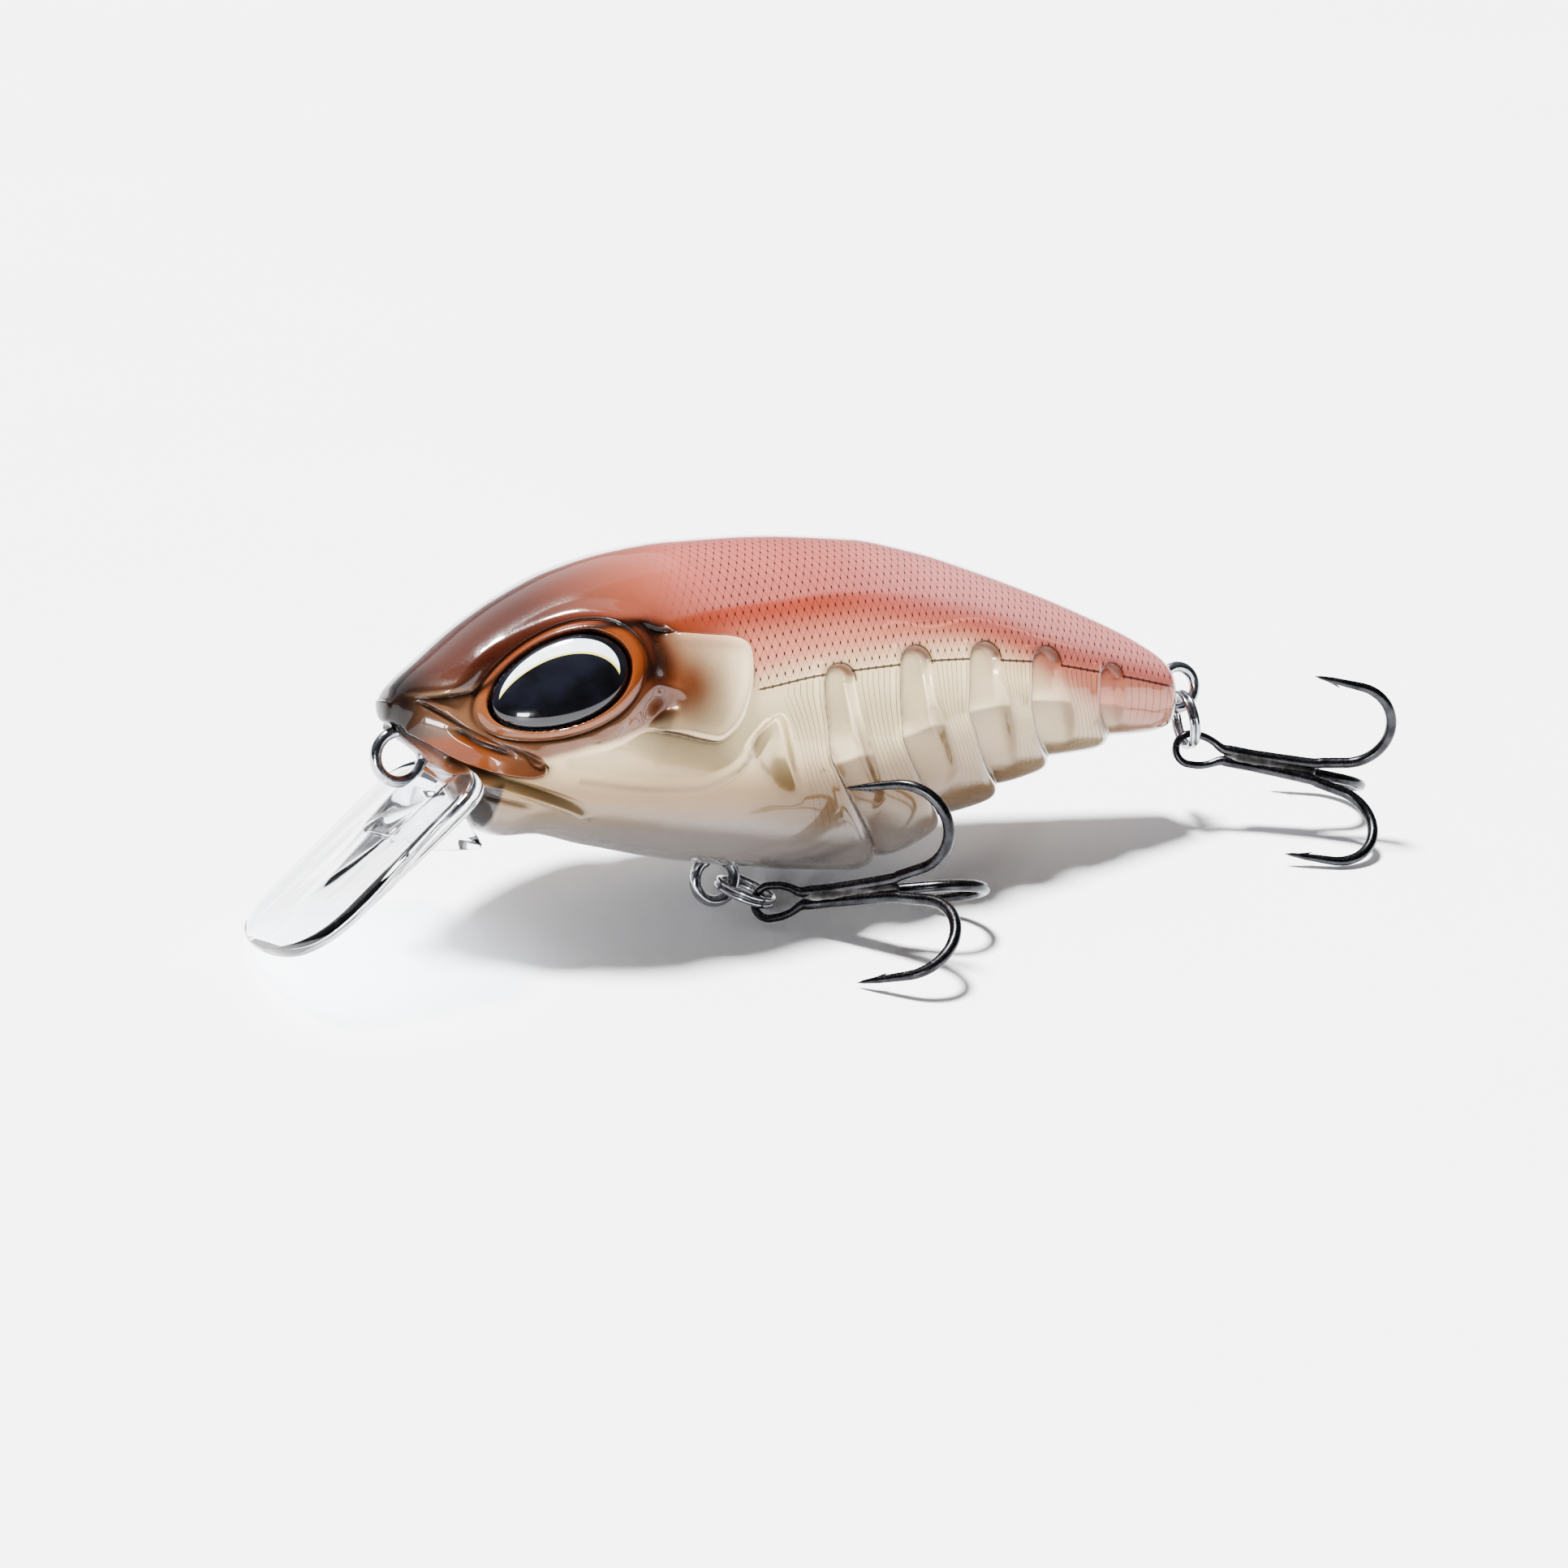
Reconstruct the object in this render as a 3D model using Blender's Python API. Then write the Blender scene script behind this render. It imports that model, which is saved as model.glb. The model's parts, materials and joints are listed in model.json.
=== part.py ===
"""A clear-lipped crankbait: hollow plastic body, wire hangers, split rings and treble hooks.

The lure lies on a surface at z = 0, leaning on one corner of its lip, with its nose at -X.
The body is modelled upright around its own long axis, and the empty "stance" lays it down.
"""

import math

import bmesh
import bpy
from mathutils import Matrix, Vector

for old in list(bpy.data.objects):
    bpy.data.objects.remove(old)

MM = 0.001
GAP = 0.3  # clearance between touching pieces, mm
SHARP_ANGLE = 35

# ---------------------------------------------------------------- driving dimensions, mm and degrees
NOSE = -32.75
TAIL = 31.5
SEAM_GAP = 0.06
SECTION_POWER = 2.25  # 2 is an ellipse, more is boxier
WAIST_RISE = 0.6  # the widest line runs this far above mid height
BODY_STEPS = 13
# hollow chambers: first and last station, and how far their wall lies inside the skin
CHAMBERS = ((-17.0, -11.0, 2.6), (-9.2, 4.4, 3.0))

STANCE_LEAN = -19.95
STANCE_TRIM = 7.41
STANCE_HEIGHT = 13.21
ORIGIN_SHIFT = (-2.341, 5.898)

EYELET_WIRE = 0.84
LINE_TIE = (-31.53, -3.61)
LINE_TIE_RADIUS = 1.74
BELLY_EYE = (-6.96, -12.62)
TAIL_EYE = (32.54, 1.44)
HANGER_RADIUS = 1.59
HANGER_OPENING = 28  # half angle of the eye's gap, where the legs leave
HANGERS = {
    # name: centre in the body's XZ plane, eye radius, leg depth, turn about Y in degrees
    "line_tie_eyelet": (LINE_TIE, LINE_TIE_RADIUS, 6.0, 52.0),
    "belly_eyelet": (BELLY_EYE, HANGER_RADIUS, 5.4, 0.0),
    "tail_eyelet": (TAIL_EYE, HANGER_RADIUS, 6.0, -96.0),
}

RING_WIRE = 0.50
RING_RADIUS = 2.12
RING_TURNS = 1.95
RING_STEPS = 22

HOOK_WIRE = 0.84
HOOK_SHANK = 10.36
PRONG_OFFSET = 0.62  # a prong's wire leaves the shank this far from its axis
HOOK_FLARE = 11.9
HOOK_RUN = 3.19
HOOK_BEND = 3.30
HOOK_SWEEP = 165.7
HOOK_POINT = 3.78
POINT_TAPER = (0.85, 0.6, 0.35, 0.05)  # wire thickness factors over the last steps to the tip
HOOK_EYE_WIRE = 0.68
HOOK_EYE_LENGTH = 3.9
HOOK_EYE_WIDTH = 2.95

# offsets in mm from the eyelet's centre, along the axes of the surface the lure lies on
TACKLE = {
    "belly": dict(eyelet=BELLY_EYE, ring_offset=(1.83, -1.37, -0.62), ring_first=(-0.143, 0.982, -0.120),
                  ring_second=(-0.836, -0.055, 0.546), hook_offset=(2.60, -3.35, -0.66),
                  hook_yaw=-44.4, hook_pitch=18.4, hook_roll=30.0, hook_grip=(1.27, 0.10, 0.01)),
    "tail": dict(eyelet=TAIL_EYE, ring_offset=(0.58, -0.78, -2.46), ring_first=(-0.017, 0.460, 0.888),
                 ring_second=(-0.225, -0.867, 0.445), hook_offset=(0.56, -1.95, -4.20),
                 hook_yaw=-27.7, hook_pitch=-7.5, hook_roll=27.6, hook_grip=(1.42, 0.12, 0.20)),
}

LIP_THICKNESS = 1.4
LIP_HALF_WIDTH = 8.3
LIP_LENGTH = 16.9
LIP_ROOT = (-28.7, -5.42)
LIP_PITCH = 42.5
LIP_SHOULDER = 2.6
LIP_CORNER = 1.8
LIP_BOW = 0.8
# side view of the clear block under the lip's root, in the lip's own frame
WEDGE_PROFILE = ((0.4, -0.5), (5.4, -0.5), (4.6, -1.9), (2.2, -4.2), (1.0, -5.0), (0.7, -3.4))
WEDGE_HALF_WIDTH = 2.6

EYE_CENTRE = (-22.6, 1.75)
EYE_SPREAD = 6.85
EYE_OUT = (-0.42, 0.88, 0.22)
EYE_LONG = 9.8
EYE_SHORT = 5.9
EYE_TILT = 18.0
EYE_STEPS = 24
SOCKET_ROOM = 0.5
SOCKET_DEPTH = 1.2
FOIL_BACK = -0.9
FOIL_FRONT = -0.6
LENS_BACK = -0.3
LENS_EDGE = 0.35
LENS_RISE = 1.0

# edges of the overlapping tail plates along the belly line
PLATE_EDGES = (5.4, 10.8, 16.0, 20.6, 25.9)
PLATE_STEP = 1.25
LAST_PLATE_SHARE = 0.7

BALLAST_CENTRE = (2.4, 0.0, -8.3)
BALLAST_RADIUS = 2.4
BALLAST_LENGTH = 8.0
BALL_RADIUS = 1.5
BALL_HEIGHT = 1.6
# transverse rattle bores: place along the body, half length
RATTLE_BORES = ((8.5, 5.4), (13.0, 4.6), (17.5, 3.7))

TOP = ((-32.75, 0.3), (-32.2, 1.2), (-30.0, 3.2), (-27.0, 5.7), (-24.0, 7.7), (-20.3, 9.6),
       (-15.9, 11.0), (-11.4, 11.8), (-2.3, 12.4), (3.0, 12.3), (7.8, 11.6), (12.7, 10.4),
       (22.8, 7.2), (29.6, 4.3), (30.8, 3.3), (31.3, 2.2), (31.5, 1.0))
BOTTOM = ((-32.75, -1.2), (-32.2, -1.9), (-30.0, -3.6), (-28.0, -5.4), (-26.9, -7.2),
          (-25.6, -8.8), (-24.0, -9.2), (-22.0, -9.1), (-17.7, -9.9), (-10.0, -11.2),
          (0.0, -12.0), (5.4, -12.1), (10.8, -9.2), (16.0, -6.8), (20.6, -4.7),
          (25.9, -3.1), (30.6, -1.9), (31.2, -1.6), (31.5, -1.0))
HALF_WIDTH = ((-32.75, 1.3), (-32.2, 2.2), (-30.0, 4.0), (-26.0, 6.2), (-20.0, 8.0),
              (-12.0, 8.8), (-4.0, 8.8), (4.0, 8.2), (12.0, 6.7), (20.0, 4.9), (28.0, 3.1),
              (30.6, 2.4), (31.2, 1.9), (31.5, 1.3))

COLORS = {
    "shell": ((0.72, 0.48, 0.33, 1), 0.18, 0.0),
    "lip": ((0.86, 0.88, 0.90, 1), 0.05, 0.0),
    "nickel": ((0.70, 0.70, 0.72, 1), 0.18, 1.0),
    "hook": ((0.09, 0.09, 0.10, 1), 0.25, 1.0),
    "foil": ((0.85, 0.84, 0.70, 1), 0.30, 0.6),
    "lens": ((0.02, 0.02, 0.025, 1), 0.05, 0.0),
    "lead": ((0.28, 0.29, 0.31, 1), 0.50, 1.0),
    "steel": ((0.62, 0.62, 0.63, 1), 0.20, 1.0),
}


# ---------------------------------------------------------------- scene helpers
def fresh_collection(name):
    """Return an empty collection linked to the scene."""
    collection = bpy.data.collections.new(name)
    bpy.context.scene.collection.children.link(collection)
    return collection


PARTS = fresh_collection("crankbait_lure")
CUTTERS = fresh_collection("cutters")
WORLD = {}  # world matrix of each empty


def material(node, look):
    """Make the piece's own material from its entry in COLORS."""
    color, roughness, metallic = COLORS[look]
    made = bpy.data.materials.new(node + "_material")
    made.use_nodes = True
    shader = made.node_tree.nodes["Principled BSDF"]
    shader.inputs["Base Color"].default_value = color
    shader.inputs["Roughness"].default_value = roughness
    shader.inputs["Metallic"].default_value = metallic
    if look == "lip":
        shader.inputs["Transmission Weight"].default_value = 1.0
    made.diffuse_color = color
    return made


def add_empty(name, world, parent=None):
    """Add an empty at a world matrix, as a child of another empty."""
    empty = bpy.data.objects.new(name, None)
    empty.empty_display_size = 3 * MM
    PARTS.objects.link(empty)
    WORLD[name] = world
    if parent:
        empty.parent = bpy.data.objects[parent]
        empty.matrix_basis = WORLD[parent].inverted() @ world
    else:
        empty.matrix_basis = world
    return empty


def add_piece(name, mesh, look, parent, location=(0, 0, 0), rotation=(0, 0, 0)):
    """Add a mesh as a named piece under an empty; location in mm, rotation in degrees."""
    piece = bpy.data.objects.new(name, mesh)
    PARTS.objects.link(piece)
    piece.parent = bpy.data.objects[parent]
    piece.location = Vector(location) * MM
    piece.rotation_euler = [math.radians(angle) for angle in rotation]
    mesh.materials.clear()
    mesh.materials.append(material(name, look))
    mesh.shade_smooth()
    mesh.set_sharp_from_angle(angle=math.radians(SHARP_ANGLE))
    return piece


def add_cutter(name, mesh, parent="stance"):
    """Add a mesh as a hidden cutter in the body's frame."""
    cutter = bpy.data.objects.new(name, mesh)
    CUTTERS.objects.link(cutter)
    cutter.parent = bpy.data.objects[parent]
    cutter.hide_render = True
    cutter.display_type = "WIRE"
    return cutter


def cut(piece, cutter, operation="DIFFERENCE"):
    """Give a piece a boolean modifier."""
    modifier = piece.modifiers.new(cutter.name, "BOOLEAN")
    modifier.operation = operation
    modifier.solver = "EXACT"
    modifier.object = cutter


def mesh_from(build, name):
    """Run a bmesh builder and return its mesh, scaled from mm to metres."""
    work = bmesh.new()
    build(work)
    bmesh.ops.scale(work, vec=(MM, MM, MM), verts=work.verts)
    bmesh.ops.recalc_face_normals(work, faces=work.faces)
    mesh = bpy.data.meshes.new(name)
    work.to_mesh(mesh)
    work.free()
    return mesh


# ---------------------------------------------------------------- curves and outlines
def smooth(knots, at):
    """Monotone cubic through the knots, read at one place."""
    places = [knot[0] for knot in knots]
    values = [knot[1] for knot in knots]
    at = min(max(at, places[0]), places[-1])
    count = len(knots)
    slopes = [(values[i + 1] - values[i]) / (places[i + 1] - places[i]) for i in range(count - 1)]
    tangents = [slopes[0]]
    for i in range(1, count - 1):
        both = slopes[i - 1] * slopes[i]
        tangents.append(2 * both / (slopes[i - 1] + slopes[i]) if both > 0 else 0.0)
    tangents.append(slopes[-1])
    i = max(k for k in range(count - 1) if places[k] <= at)
    span = places[i + 1] - places[i]
    t = (at - places[i]) / span
    rise = t * t * (3 - 2 * t)
    lead = t * (1 - t) * (1 - t) * span
    trail = t * t * (t - 1) * span
    return values[i] + (values[i + 1] - values[i]) * rise + tangents[i] * lead + tangents[i + 1] * trail


def plate_relief(x):
    """How far the skin lies below its envelope at x: deep just behind each plate edge."""
    edges = PLATE_EDGES + (TAIL + 1.0,)
    for start, end in zip(edges, edges[1:]):
        if start < x <= end:
            share = LAST_PLATE_SHARE if start == PLATE_EDGES[-1] else 1.0
            return PLATE_STEP * share * (1 - (x - start) / (end - start))
    return 0.0


def section_point(x, angle, inset=0.0):
    """Point of the body's left half section: angle 0 is the back, 180 degrees the belly."""
    top = smooth(TOP, x) - inset
    bottom = smooth(BOTTOM, x) + inset
    width = max(smooth(HALF_WIDTH, x) - inset, 0.2)
    waist = (top + bottom) / 2 + WAIST_RISE
    across = abs(math.sin(angle)) ** (2 / SECTION_POWER)
    along = abs(math.cos(angle)) ** (2 / SECTION_POWER)
    if math.cos(angle) >= 0:
        return -width * across, waist + (top - waist) * along
    low = -math.cos(angle)
    relief = plate_relief(x) * min(1.0, low * 1.6)
    shrink = 1 - relief / (waist - bottom)
    return -width * across * (1 - (1 - shrink) * 0.35), waist - (waist - bottom) * along * shrink


def loft_half(work, stations, steps):
    """A closed left half of the body, half a seam gap clear of the middle plane."""
    plane = -SEAM_GAP / 2
    rings = []
    for x in stations:
        ring = []
        for k in range(steps + 1):
            y, z = section_point(x, math.pi * k / steps)
            ring.append(work.verts.new((x, min(y + plane, plane), z)))
        rings.append(ring)
    for before, after in zip(rings, rings[1:]):
        for k in range(steps):
            work.faces.new((before[k], before[k + 1], after[k + 1], after[k]))
        work.faces.new((before[0], after[0], after[-1], before[-1]))
    work.faces.new(rings[0])
    work.faces.new(rings[-1])


def outer_stations():
    """Stations along the body: close at the nose, the tail and each plate edge."""
    snout = [NOSE + ahead for ahead in (0, 0.25, 0.75, 1.75, 3.25, 4.75, 5.95, 7.15, 8.75)]
    pitch = (PLATE_EDGES[0] - 1.0 - snout[-1]) / 9.65
    flank = [snout[-1] + pitch * k for k in range(1, 10)]
    plates = []
    edges = PLATE_EDGES + (TAIL - 1.1,)
    for start, end in zip(edges, edges[1:]):
        plates += [start, start + 0.35, (start + end) / 2]
    cap = [TAIL - short for short in (1.1, 0.5, 0.15, 0)]
    return snout + flank + [PLATE_EDGES[0] - 1.0] + plates + cap


def mirrored(mesh, name):
    """Copy of a mesh reflected across the middle plane."""
    work = bmesh.new()
    work.from_mesh(mesh)
    bmesh.ops.scale(work, vec=(1, -1, 1), verts=work.verts)
    bmesh.ops.reverse_faces(work, faces=work.faces)
    copy = bpy.data.meshes.new(name)
    work.to_mesh(copy)
    work.free()
    return copy


def wire_mesh(name, paths, diameter, sides_resolution=2, radii=None):
    """Round wire along one or more polylines (mm), as a closed mesh per polyline."""
    data = bpy.data.curves.new(name, "CURVE")
    data.dimensions = "3D"
    data.bevel_depth = diameter / 2 * MM
    data.bevel_resolution = sides_resolution
    data.use_fill_caps = True
    for index, path in enumerate(paths):
        closed = (Vector(path[0]) - Vector(path[-1])).length < 1e-6
        points = path[:-1] if closed else path
        spline = data.splines.new("POLY")
        spline.points.add(len(points) - 1)
        spline.use_cyclic_u = closed
        for place, point in enumerate(points):
            spline.points[place].co = (*(Vector(point) * MM), 1)
            if radii:
                spline.points[place].radius = radii[index][place]
    holder = bpy.data.objects.new(name + "_curve", data)
    bpy.context.scene.collection.objects.link(holder)
    bpy.context.view_layer.update()
    mesh = bpy.data.meshes.new_from_object(holder.evaluated_get(bpy.context.evaluated_depsgraph_get()))
    bpy.data.objects.remove(holder)
    bpy.data.curves.remove(data)
    work = bmesh.new()
    work.from_mesh(mesh)
    bmesh.ops.remove_doubles(work, verts=work.verts, dist=1e-6)
    bmesh.ops.recalc_face_normals(work, faces=work.faces)
    work.to_mesh(mesh)
    work.free()
    return mesh


# ---------------------------------------------------------------- body
def lip_matrix():
    """Lip frame in the body's frame: local +X runs forward and down the lip."""
    root = Matrix.Translation(Vector((LIP_ROOT[0], 0, LIP_ROOT[1])) * MM)
    turned = root @ Matrix.Rotation(math.radians(180), 4, "Z")
    return turned @ Matrix.Rotation(math.radians(LIP_PITCH), 4, "Y")


def prism(work, outline, low, high):
    """Closed prism over an outline in the XY plane."""
    lower = [work.verts.new((x, y, low)) for x, y in outline]
    upper = [work.verts.new((x, y, high)) for x, y in outline]
    count = len(outline)
    for k in range(count):
        after = (k + 1) % count
        work.faces.new((lower[k], lower[after], upper[after], upper[k]))
    work.faces.new(lower[::-1])
    work.faces.new(upper)


def mirrored_outline(half):
    """Full outline from its +Y half, listed from the back to the front."""
    return list(half) + [(u, -v) for u, v in reversed(half)]


def arc(centre, radius, start, end, steps):
    """Points of an arc, angles in degrees."""
    points = []
    for k in range(steps + 1):
        angle = math.radians(start + (end - start) * k / steps)
        points.append((centre[0] + radius * math.cos(angle), centre[1] + radius * math.sin(angle)))
    return points


def lip_half_outline(grow=0.0):
    """Half plan of the lip: tongue, rounded shoulder, straight side, rounded corner, bowed front."""
    tongue = [(-7.0 - grow, 3.0 + grow), (-1.6 - grow, 3.4 + grow)]
    shoulder = arc((0.9, LIP_HALF_WIDTH - LIP_SHOULDER), LIP_SHOULDER + grow, 170, 90, 5)
    corner = (LIP_LENGTH - LIP_CORNER - LIP_BOW, LIP_HALF_WIDTH - LIP_CORNER)
    front = arc(corner, LIP_CORNER, 90, 8, 6)
    return tongue + shoulder + front + [(LIP_LENGTH, LIP_HALF_WIDTH / 3)]


def lip_wedge(work):
    """Clear block under the lip's root that fills the notch in front of the throat."""
    for side in (-1, 1):
        for u, w in WEDGE_PROFILE:
            work.verts.new((u, side * WEDGE_HALF_WIDTH, w))
    work.verts.ensure_lookup_table()
    count = len(WEDGE_PROFILE)
    for k in range(count):
        after = (k + 1) % count
        work.faces.new([work.verts[i] for i in (k, after, after + count, k + count)])
    work.faces.new([work.verts[k] for k in range(count)])
    work.faces.new([work.verts[k + count] for k in reversed(range(count))])


def slot_cutter(work):
    """Room for the tongue and shoulders, with clearance all round."""
    outline = mirrored_outline(lip_half_outline(GAP))
    prism(work, outline, -LIP_THICKNESS / 2 - GAP, LIP_THICKNESS / 2 + GAP)


def cavity(first, last, count, inset):
    """Builder of one chamber of the hollow body, both sides in one closed solid."""
    def build(work):
        stations = [first + (last - first) * k / (count - 1) for k in range(count)]
        steps = 8
        rings = []
        for x in stations:
            ring = []
            for k in range(2 * steps):
                angle = math.pi * k / steps
                y, z = section_point(x, angle if k <= steps else 2 * math.pi - angle, inset)
                ring.append(work.verts.new((x, y if k <= steps else -y, z)))
            rings.append(ring)
        for before, after in zip(rings, rings[1:]):
            for k in range(2 * steps):
                nxt = (k + 1) % (2 * steps)
                work.faces.new((before[k], before[nxt], after[nxt], after[k]))
        work.faces.new(rings[0])
        work.faces.new(rings[-1])
    return build


def cylinder_mesh(name, radius, length, axis, centre, sides=20):
    """Closed cylinder along an axis of the body's frame (mm)."""
    turn = {"X": Matrix.Rotation(math.pi / 2, 4, "Y"), "Y": Matrix.Rotation(math.pi / 2, 4, "X"),
            "Z": Matrix.Identity(4)}[axis]

    def build(work):
        bmesh.ops.create_cone(work, cap_ends=True, segments=sides, radius1=radius, radius2=radius,
                              depth=length, matrix=Matrix.Translation(centre) @ turn)
    return mesh_from(build, name)


def hanger_path(radius, depth, turns=22):
    """Wire hanger in the XZ plane: eye at the origin, two legs running up, and a foot loop.

    The eye's gap faces +Z, where the legs enter the body, and the foot locks in the plastic.
    """
    points = []
    for k in range(turns + 1):
        angle = math.radians(90 + HANGER_OPENING + (360 - 2 * HANGER_OPENING) * k / turns)
        points.append((radius * math.cos(angle), 0, radius * math.sin(angle)))
    neck = EYELET_WIRE / 2 + 0.12
    rise = [(neck, 0, radius + 1.2), (neck, 0, depth - 1.2), (neck + 1.0, 0, depth)]
    fall = [(-neck - 1.0, 0, depth), (-neck, 0, depth - 1.2), (-neck, 0, radius + 1.2)]
    return fall + points + rise


def hanger_room(radius, depth):
    """Builder of the slot that clears a hanger's legs and foot, and the part of its eye inside the body."""
    reach = radius + EYELET_WIRE / 2 + GAP
    side = EYELET_WIRE / 2 + GAP
    top = depth + EYELET_WIRE / 2 + GAP
    place = Matrix.Translation((0, 0, top / 2)) @ Matrix.Diagonal((2 * reach, 2 * side, top, 1))
    return lambda work: bmesh.ops.create_cube(work, size=1.0, matrix=place)


def eye_frame(side):
    """Frame of an eye on the flank: local +Z points out of the body, +X along the long axis."""
    x, z = EYE_CENTRE
    out = Vector((EYE_OUT[0], side * EYE_OUT[1], EYE_OUT[2])).normalized()
    forward = Vector((-1, 0, 0))
    long_axis = (forward - out * forward.dot(out)).normalized()
    short_axis = out.cross(long_axis)
    if short_axis.z < 0:
        short_axis = -short_axis
        long_axis = short_axis.cross(out)
    turn = Matrix((long_axis, short_axis, out)).transposed().to_4x4()
    tilt = Matrix.Rotation(math.radians(-EYE_TILT * side), 4, "Z")
    centre = Vector((x, side * EYE_SPREAD, z))
    return Matrix.Translation(centre * MM) @ turn @ tilt


def ellipse(length, width, steps):
    """Points of an ellipse in the XY plane."""
    points = []
    for k in range(steps):
        angle = 2 * math.pi * k / steps
        points.append((length / 2 * math.cos(angle), width / 2 * math.sin(angle)))
    return points


def dome(work, length, width, steps=20, levels=4):
    """Closed lens: flat back, short rim, domed front."""
    shoulder = LENS_BACK + LENS_EDGE
    rings = []
    for level in range(levels):
        tilt = math.pi / 2 * level / levels
        height = shoulder + LENS_RISE * math.sin(tilt)
        ring = []
        for x, y in ellipse(length * math.cos(tilt), width * math.cos(tilt), steps):
            ring.append(work.verts.new((x, y, height)))
        rings.append(ring)
    back = [work.verts.new((x, y, LENS_BACK)) for x, y in ellipse(length, width, steps)]
    rings.insert(0, back)
    for lower, upper in zip(rings, rings[1:]):
        for k in range(steps):
            after = (k + 1) % steps
            work.faces.new((lower[k], lower[after], upper[after], upper[k]))
    tip = work.verts.new((0, 0, shoulder + LENS_RISE))
    for k in range(steps):
        work.faces.new((rings[-1][k], rings[-1][(k + 1) % steps], tip))
    work.faces.new(back[::-1])


def make_body():
    """Two hollow halves with bulkheads, eye sockets, hanger pockets and the lip slot."""
    stations = outer_stations()
    left = mesh_from(lambda work: loft_half(work, stations, BODY_STEPS), "body_half_left")
    right = mirrored(left, "body_half_right")
    cutters = []
    for index, (first, last, inset) in enumerate(CHAMBERS):
        mesh = mesh_from(cavity(first, last, 5 + index, inset), "chamber_%d" % index)
        cutters.append(add_cutter("chamber_%d" % index, mesh))
    slot = add_cutter("lip_slot", mesh_from(slot_cutter, "lip_slot"))
    slot.matrix_basis = lip_matrix()
    cutters.append(slot)
    for index, (x, half_length) in enumerate(RATTLE_BORES):
        bore = cylinder_mesh("rattle_bore_%d" % index, BALL_RADIUS + GAP, 2 * half_length, "Y",
                             (x, 0, BALL_HEIGHT), 16)
        cutters.append(add_cutter("rattle_bore_%d" % index, bore))
    pocket = cylinder_mesh("ballast_pocket", BALLAST_RADIUS + GAP, BALLAST_LENGTH + 2 * GAP,
                           "X", BALLAST_CENTRE)
    cutters.append(add_cutter("ballast_pocket", pocket))
    for name, (centre, radius, depth, turn) in HANGERS.items():
        cutter = add_cutter(name + "_room", mesh_from(hanger_room(radius, depth), name + "_room"))
        cutter.matrix_basis = hanger_matrix(centre, turn)
        cutters.append(cutter)
    for node, mesh, side in (("body_half_left", left, -1), ("body_half_right", right, 1)):
        piece = add_piece(node, mesh, "shell", "stance")
        rim = ellipse(EYE_LONG + SOCKET_ROOM, EYE_SHORT + SOCKET_ROOM, EYE_STEPS)
        socket = mesh_from(lambda work: prism(work, rim, -SOCKET_DEPTH, 3.0), node + "_socket")
        cutter = add_cutter(node + "_eye_socket", socket)
        cutter.matrix_basis = eye_frame(side)
        for tool in cutters + [cutter]:
            cut(piece, tool)


def hanger_matrix(centre, turn):
    """Hanger frame in the body's frame."""
    place = Matrix.Translation(Vector((centre[0], 0, centre[1])) * MM)
    return place @ Matrix.Rotation(math.radians(turn), 4, "Y")


def make_eyes():
    """Foil disc at the bottom of each socket and a domed lens over it."""
    for word, side in (("left", -1), ("right", 1)):
        rim = ellipse(EYE_LONG, EYE_SHORT, EYE_STEPS)
        foil = mesh_from(lambda work: prism(work, rim, FOIL_BACK, FOIL_FRONT), "eye_foil")
        piece = add_piece("eye_foil_" + word, foil, "foil", "stance")
        piece.matrix_basis = eye_frame(side)
        lens = mesh_from(lambda work: dome(work, EYE_LONG, EYE_SHORT), "eye_lens")
        piece = add_piece("eye_lens_" + word, lens, "lens", "stance")
        piece.matrix_basis = eye_frame(side)


def make_lip():
    """Clear lip: flat plate with its tongue, and the wedge under its root."""
    half = LIP_THICKNESS / 2
    plate = mesh_from(lambda work: prism(work, mirrored_outline(lip_half_outline()), -half, half), "lip")
    piece = add_piece("diving_lip", plate, "lip", "stance")
    piece.matrix_basis = lip_matrix()
    wedge = add_cutter("lip_wedge", mesh_from(lip_wedge, "lip_wedge"))
    wedge.matrix_basis = lip_matrix()
    cut(piece, wedge, "UNION")


def make_hangers():
    """The three bent-wire eyelets."""
    for name, (centre, radius, depth, turn) in HANGERS.items():
        mesh = wire_mesh(name, [hanger_path(radius, depth)], EYELET_WIRE)
        piece = add_piece(name, mesh, "nickel", "stance")
        piece.matrix_basis = hanger_matrix(centre, turn)


def ball_mesh(name):
    """Steel rattle ball."""
    return mesh_from(lambda work: bmesh.ops.create_uvsphere(work, u_segments=16, v_segments=10,
                                                            radius=BALL_RADIUS), name)


def make_weights():
    """Fixed weight low in the belly, and a loose ball at the low end of each rattle bore."""
    slug = cylinder_mesh("belly_ballast", BALLAST_RADIUS, BALLAST_LENGTH, "X", (0, 0, 0))
    add_piece("belly_ballast", slug, "lead", "stance", BALLAST_CENTRE)
    for index, (x, half_length) in enumerate(RATTLE_BORES):
        rest = half_length - BALL_RADIUS - GAP
        name = "rattle_ball_%d" % (index + 1)
        add_piece(name, ball_mesh(name), "steel", "stance", (x, rest, BALL_HEIGHT))


# ---------------------------------------------------------------- rings and hooks
def ring_path():
    """Double coil about the Z axis: two close turns of one wire."""
    pitch = RING_WIRE + 0.06
    points = []
    for k in range(int(RING_STEPS * RING_TURNS) + 1):
        turn = k / RING_STEPS
        angle = 2 * math.pi * turn
        points.append((RING_RADIUS * math.cos(angle), RING_RADIUS * math.sin(angle),
                       pitch * (turn - RING_TURNS / 2)))
    return points


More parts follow.
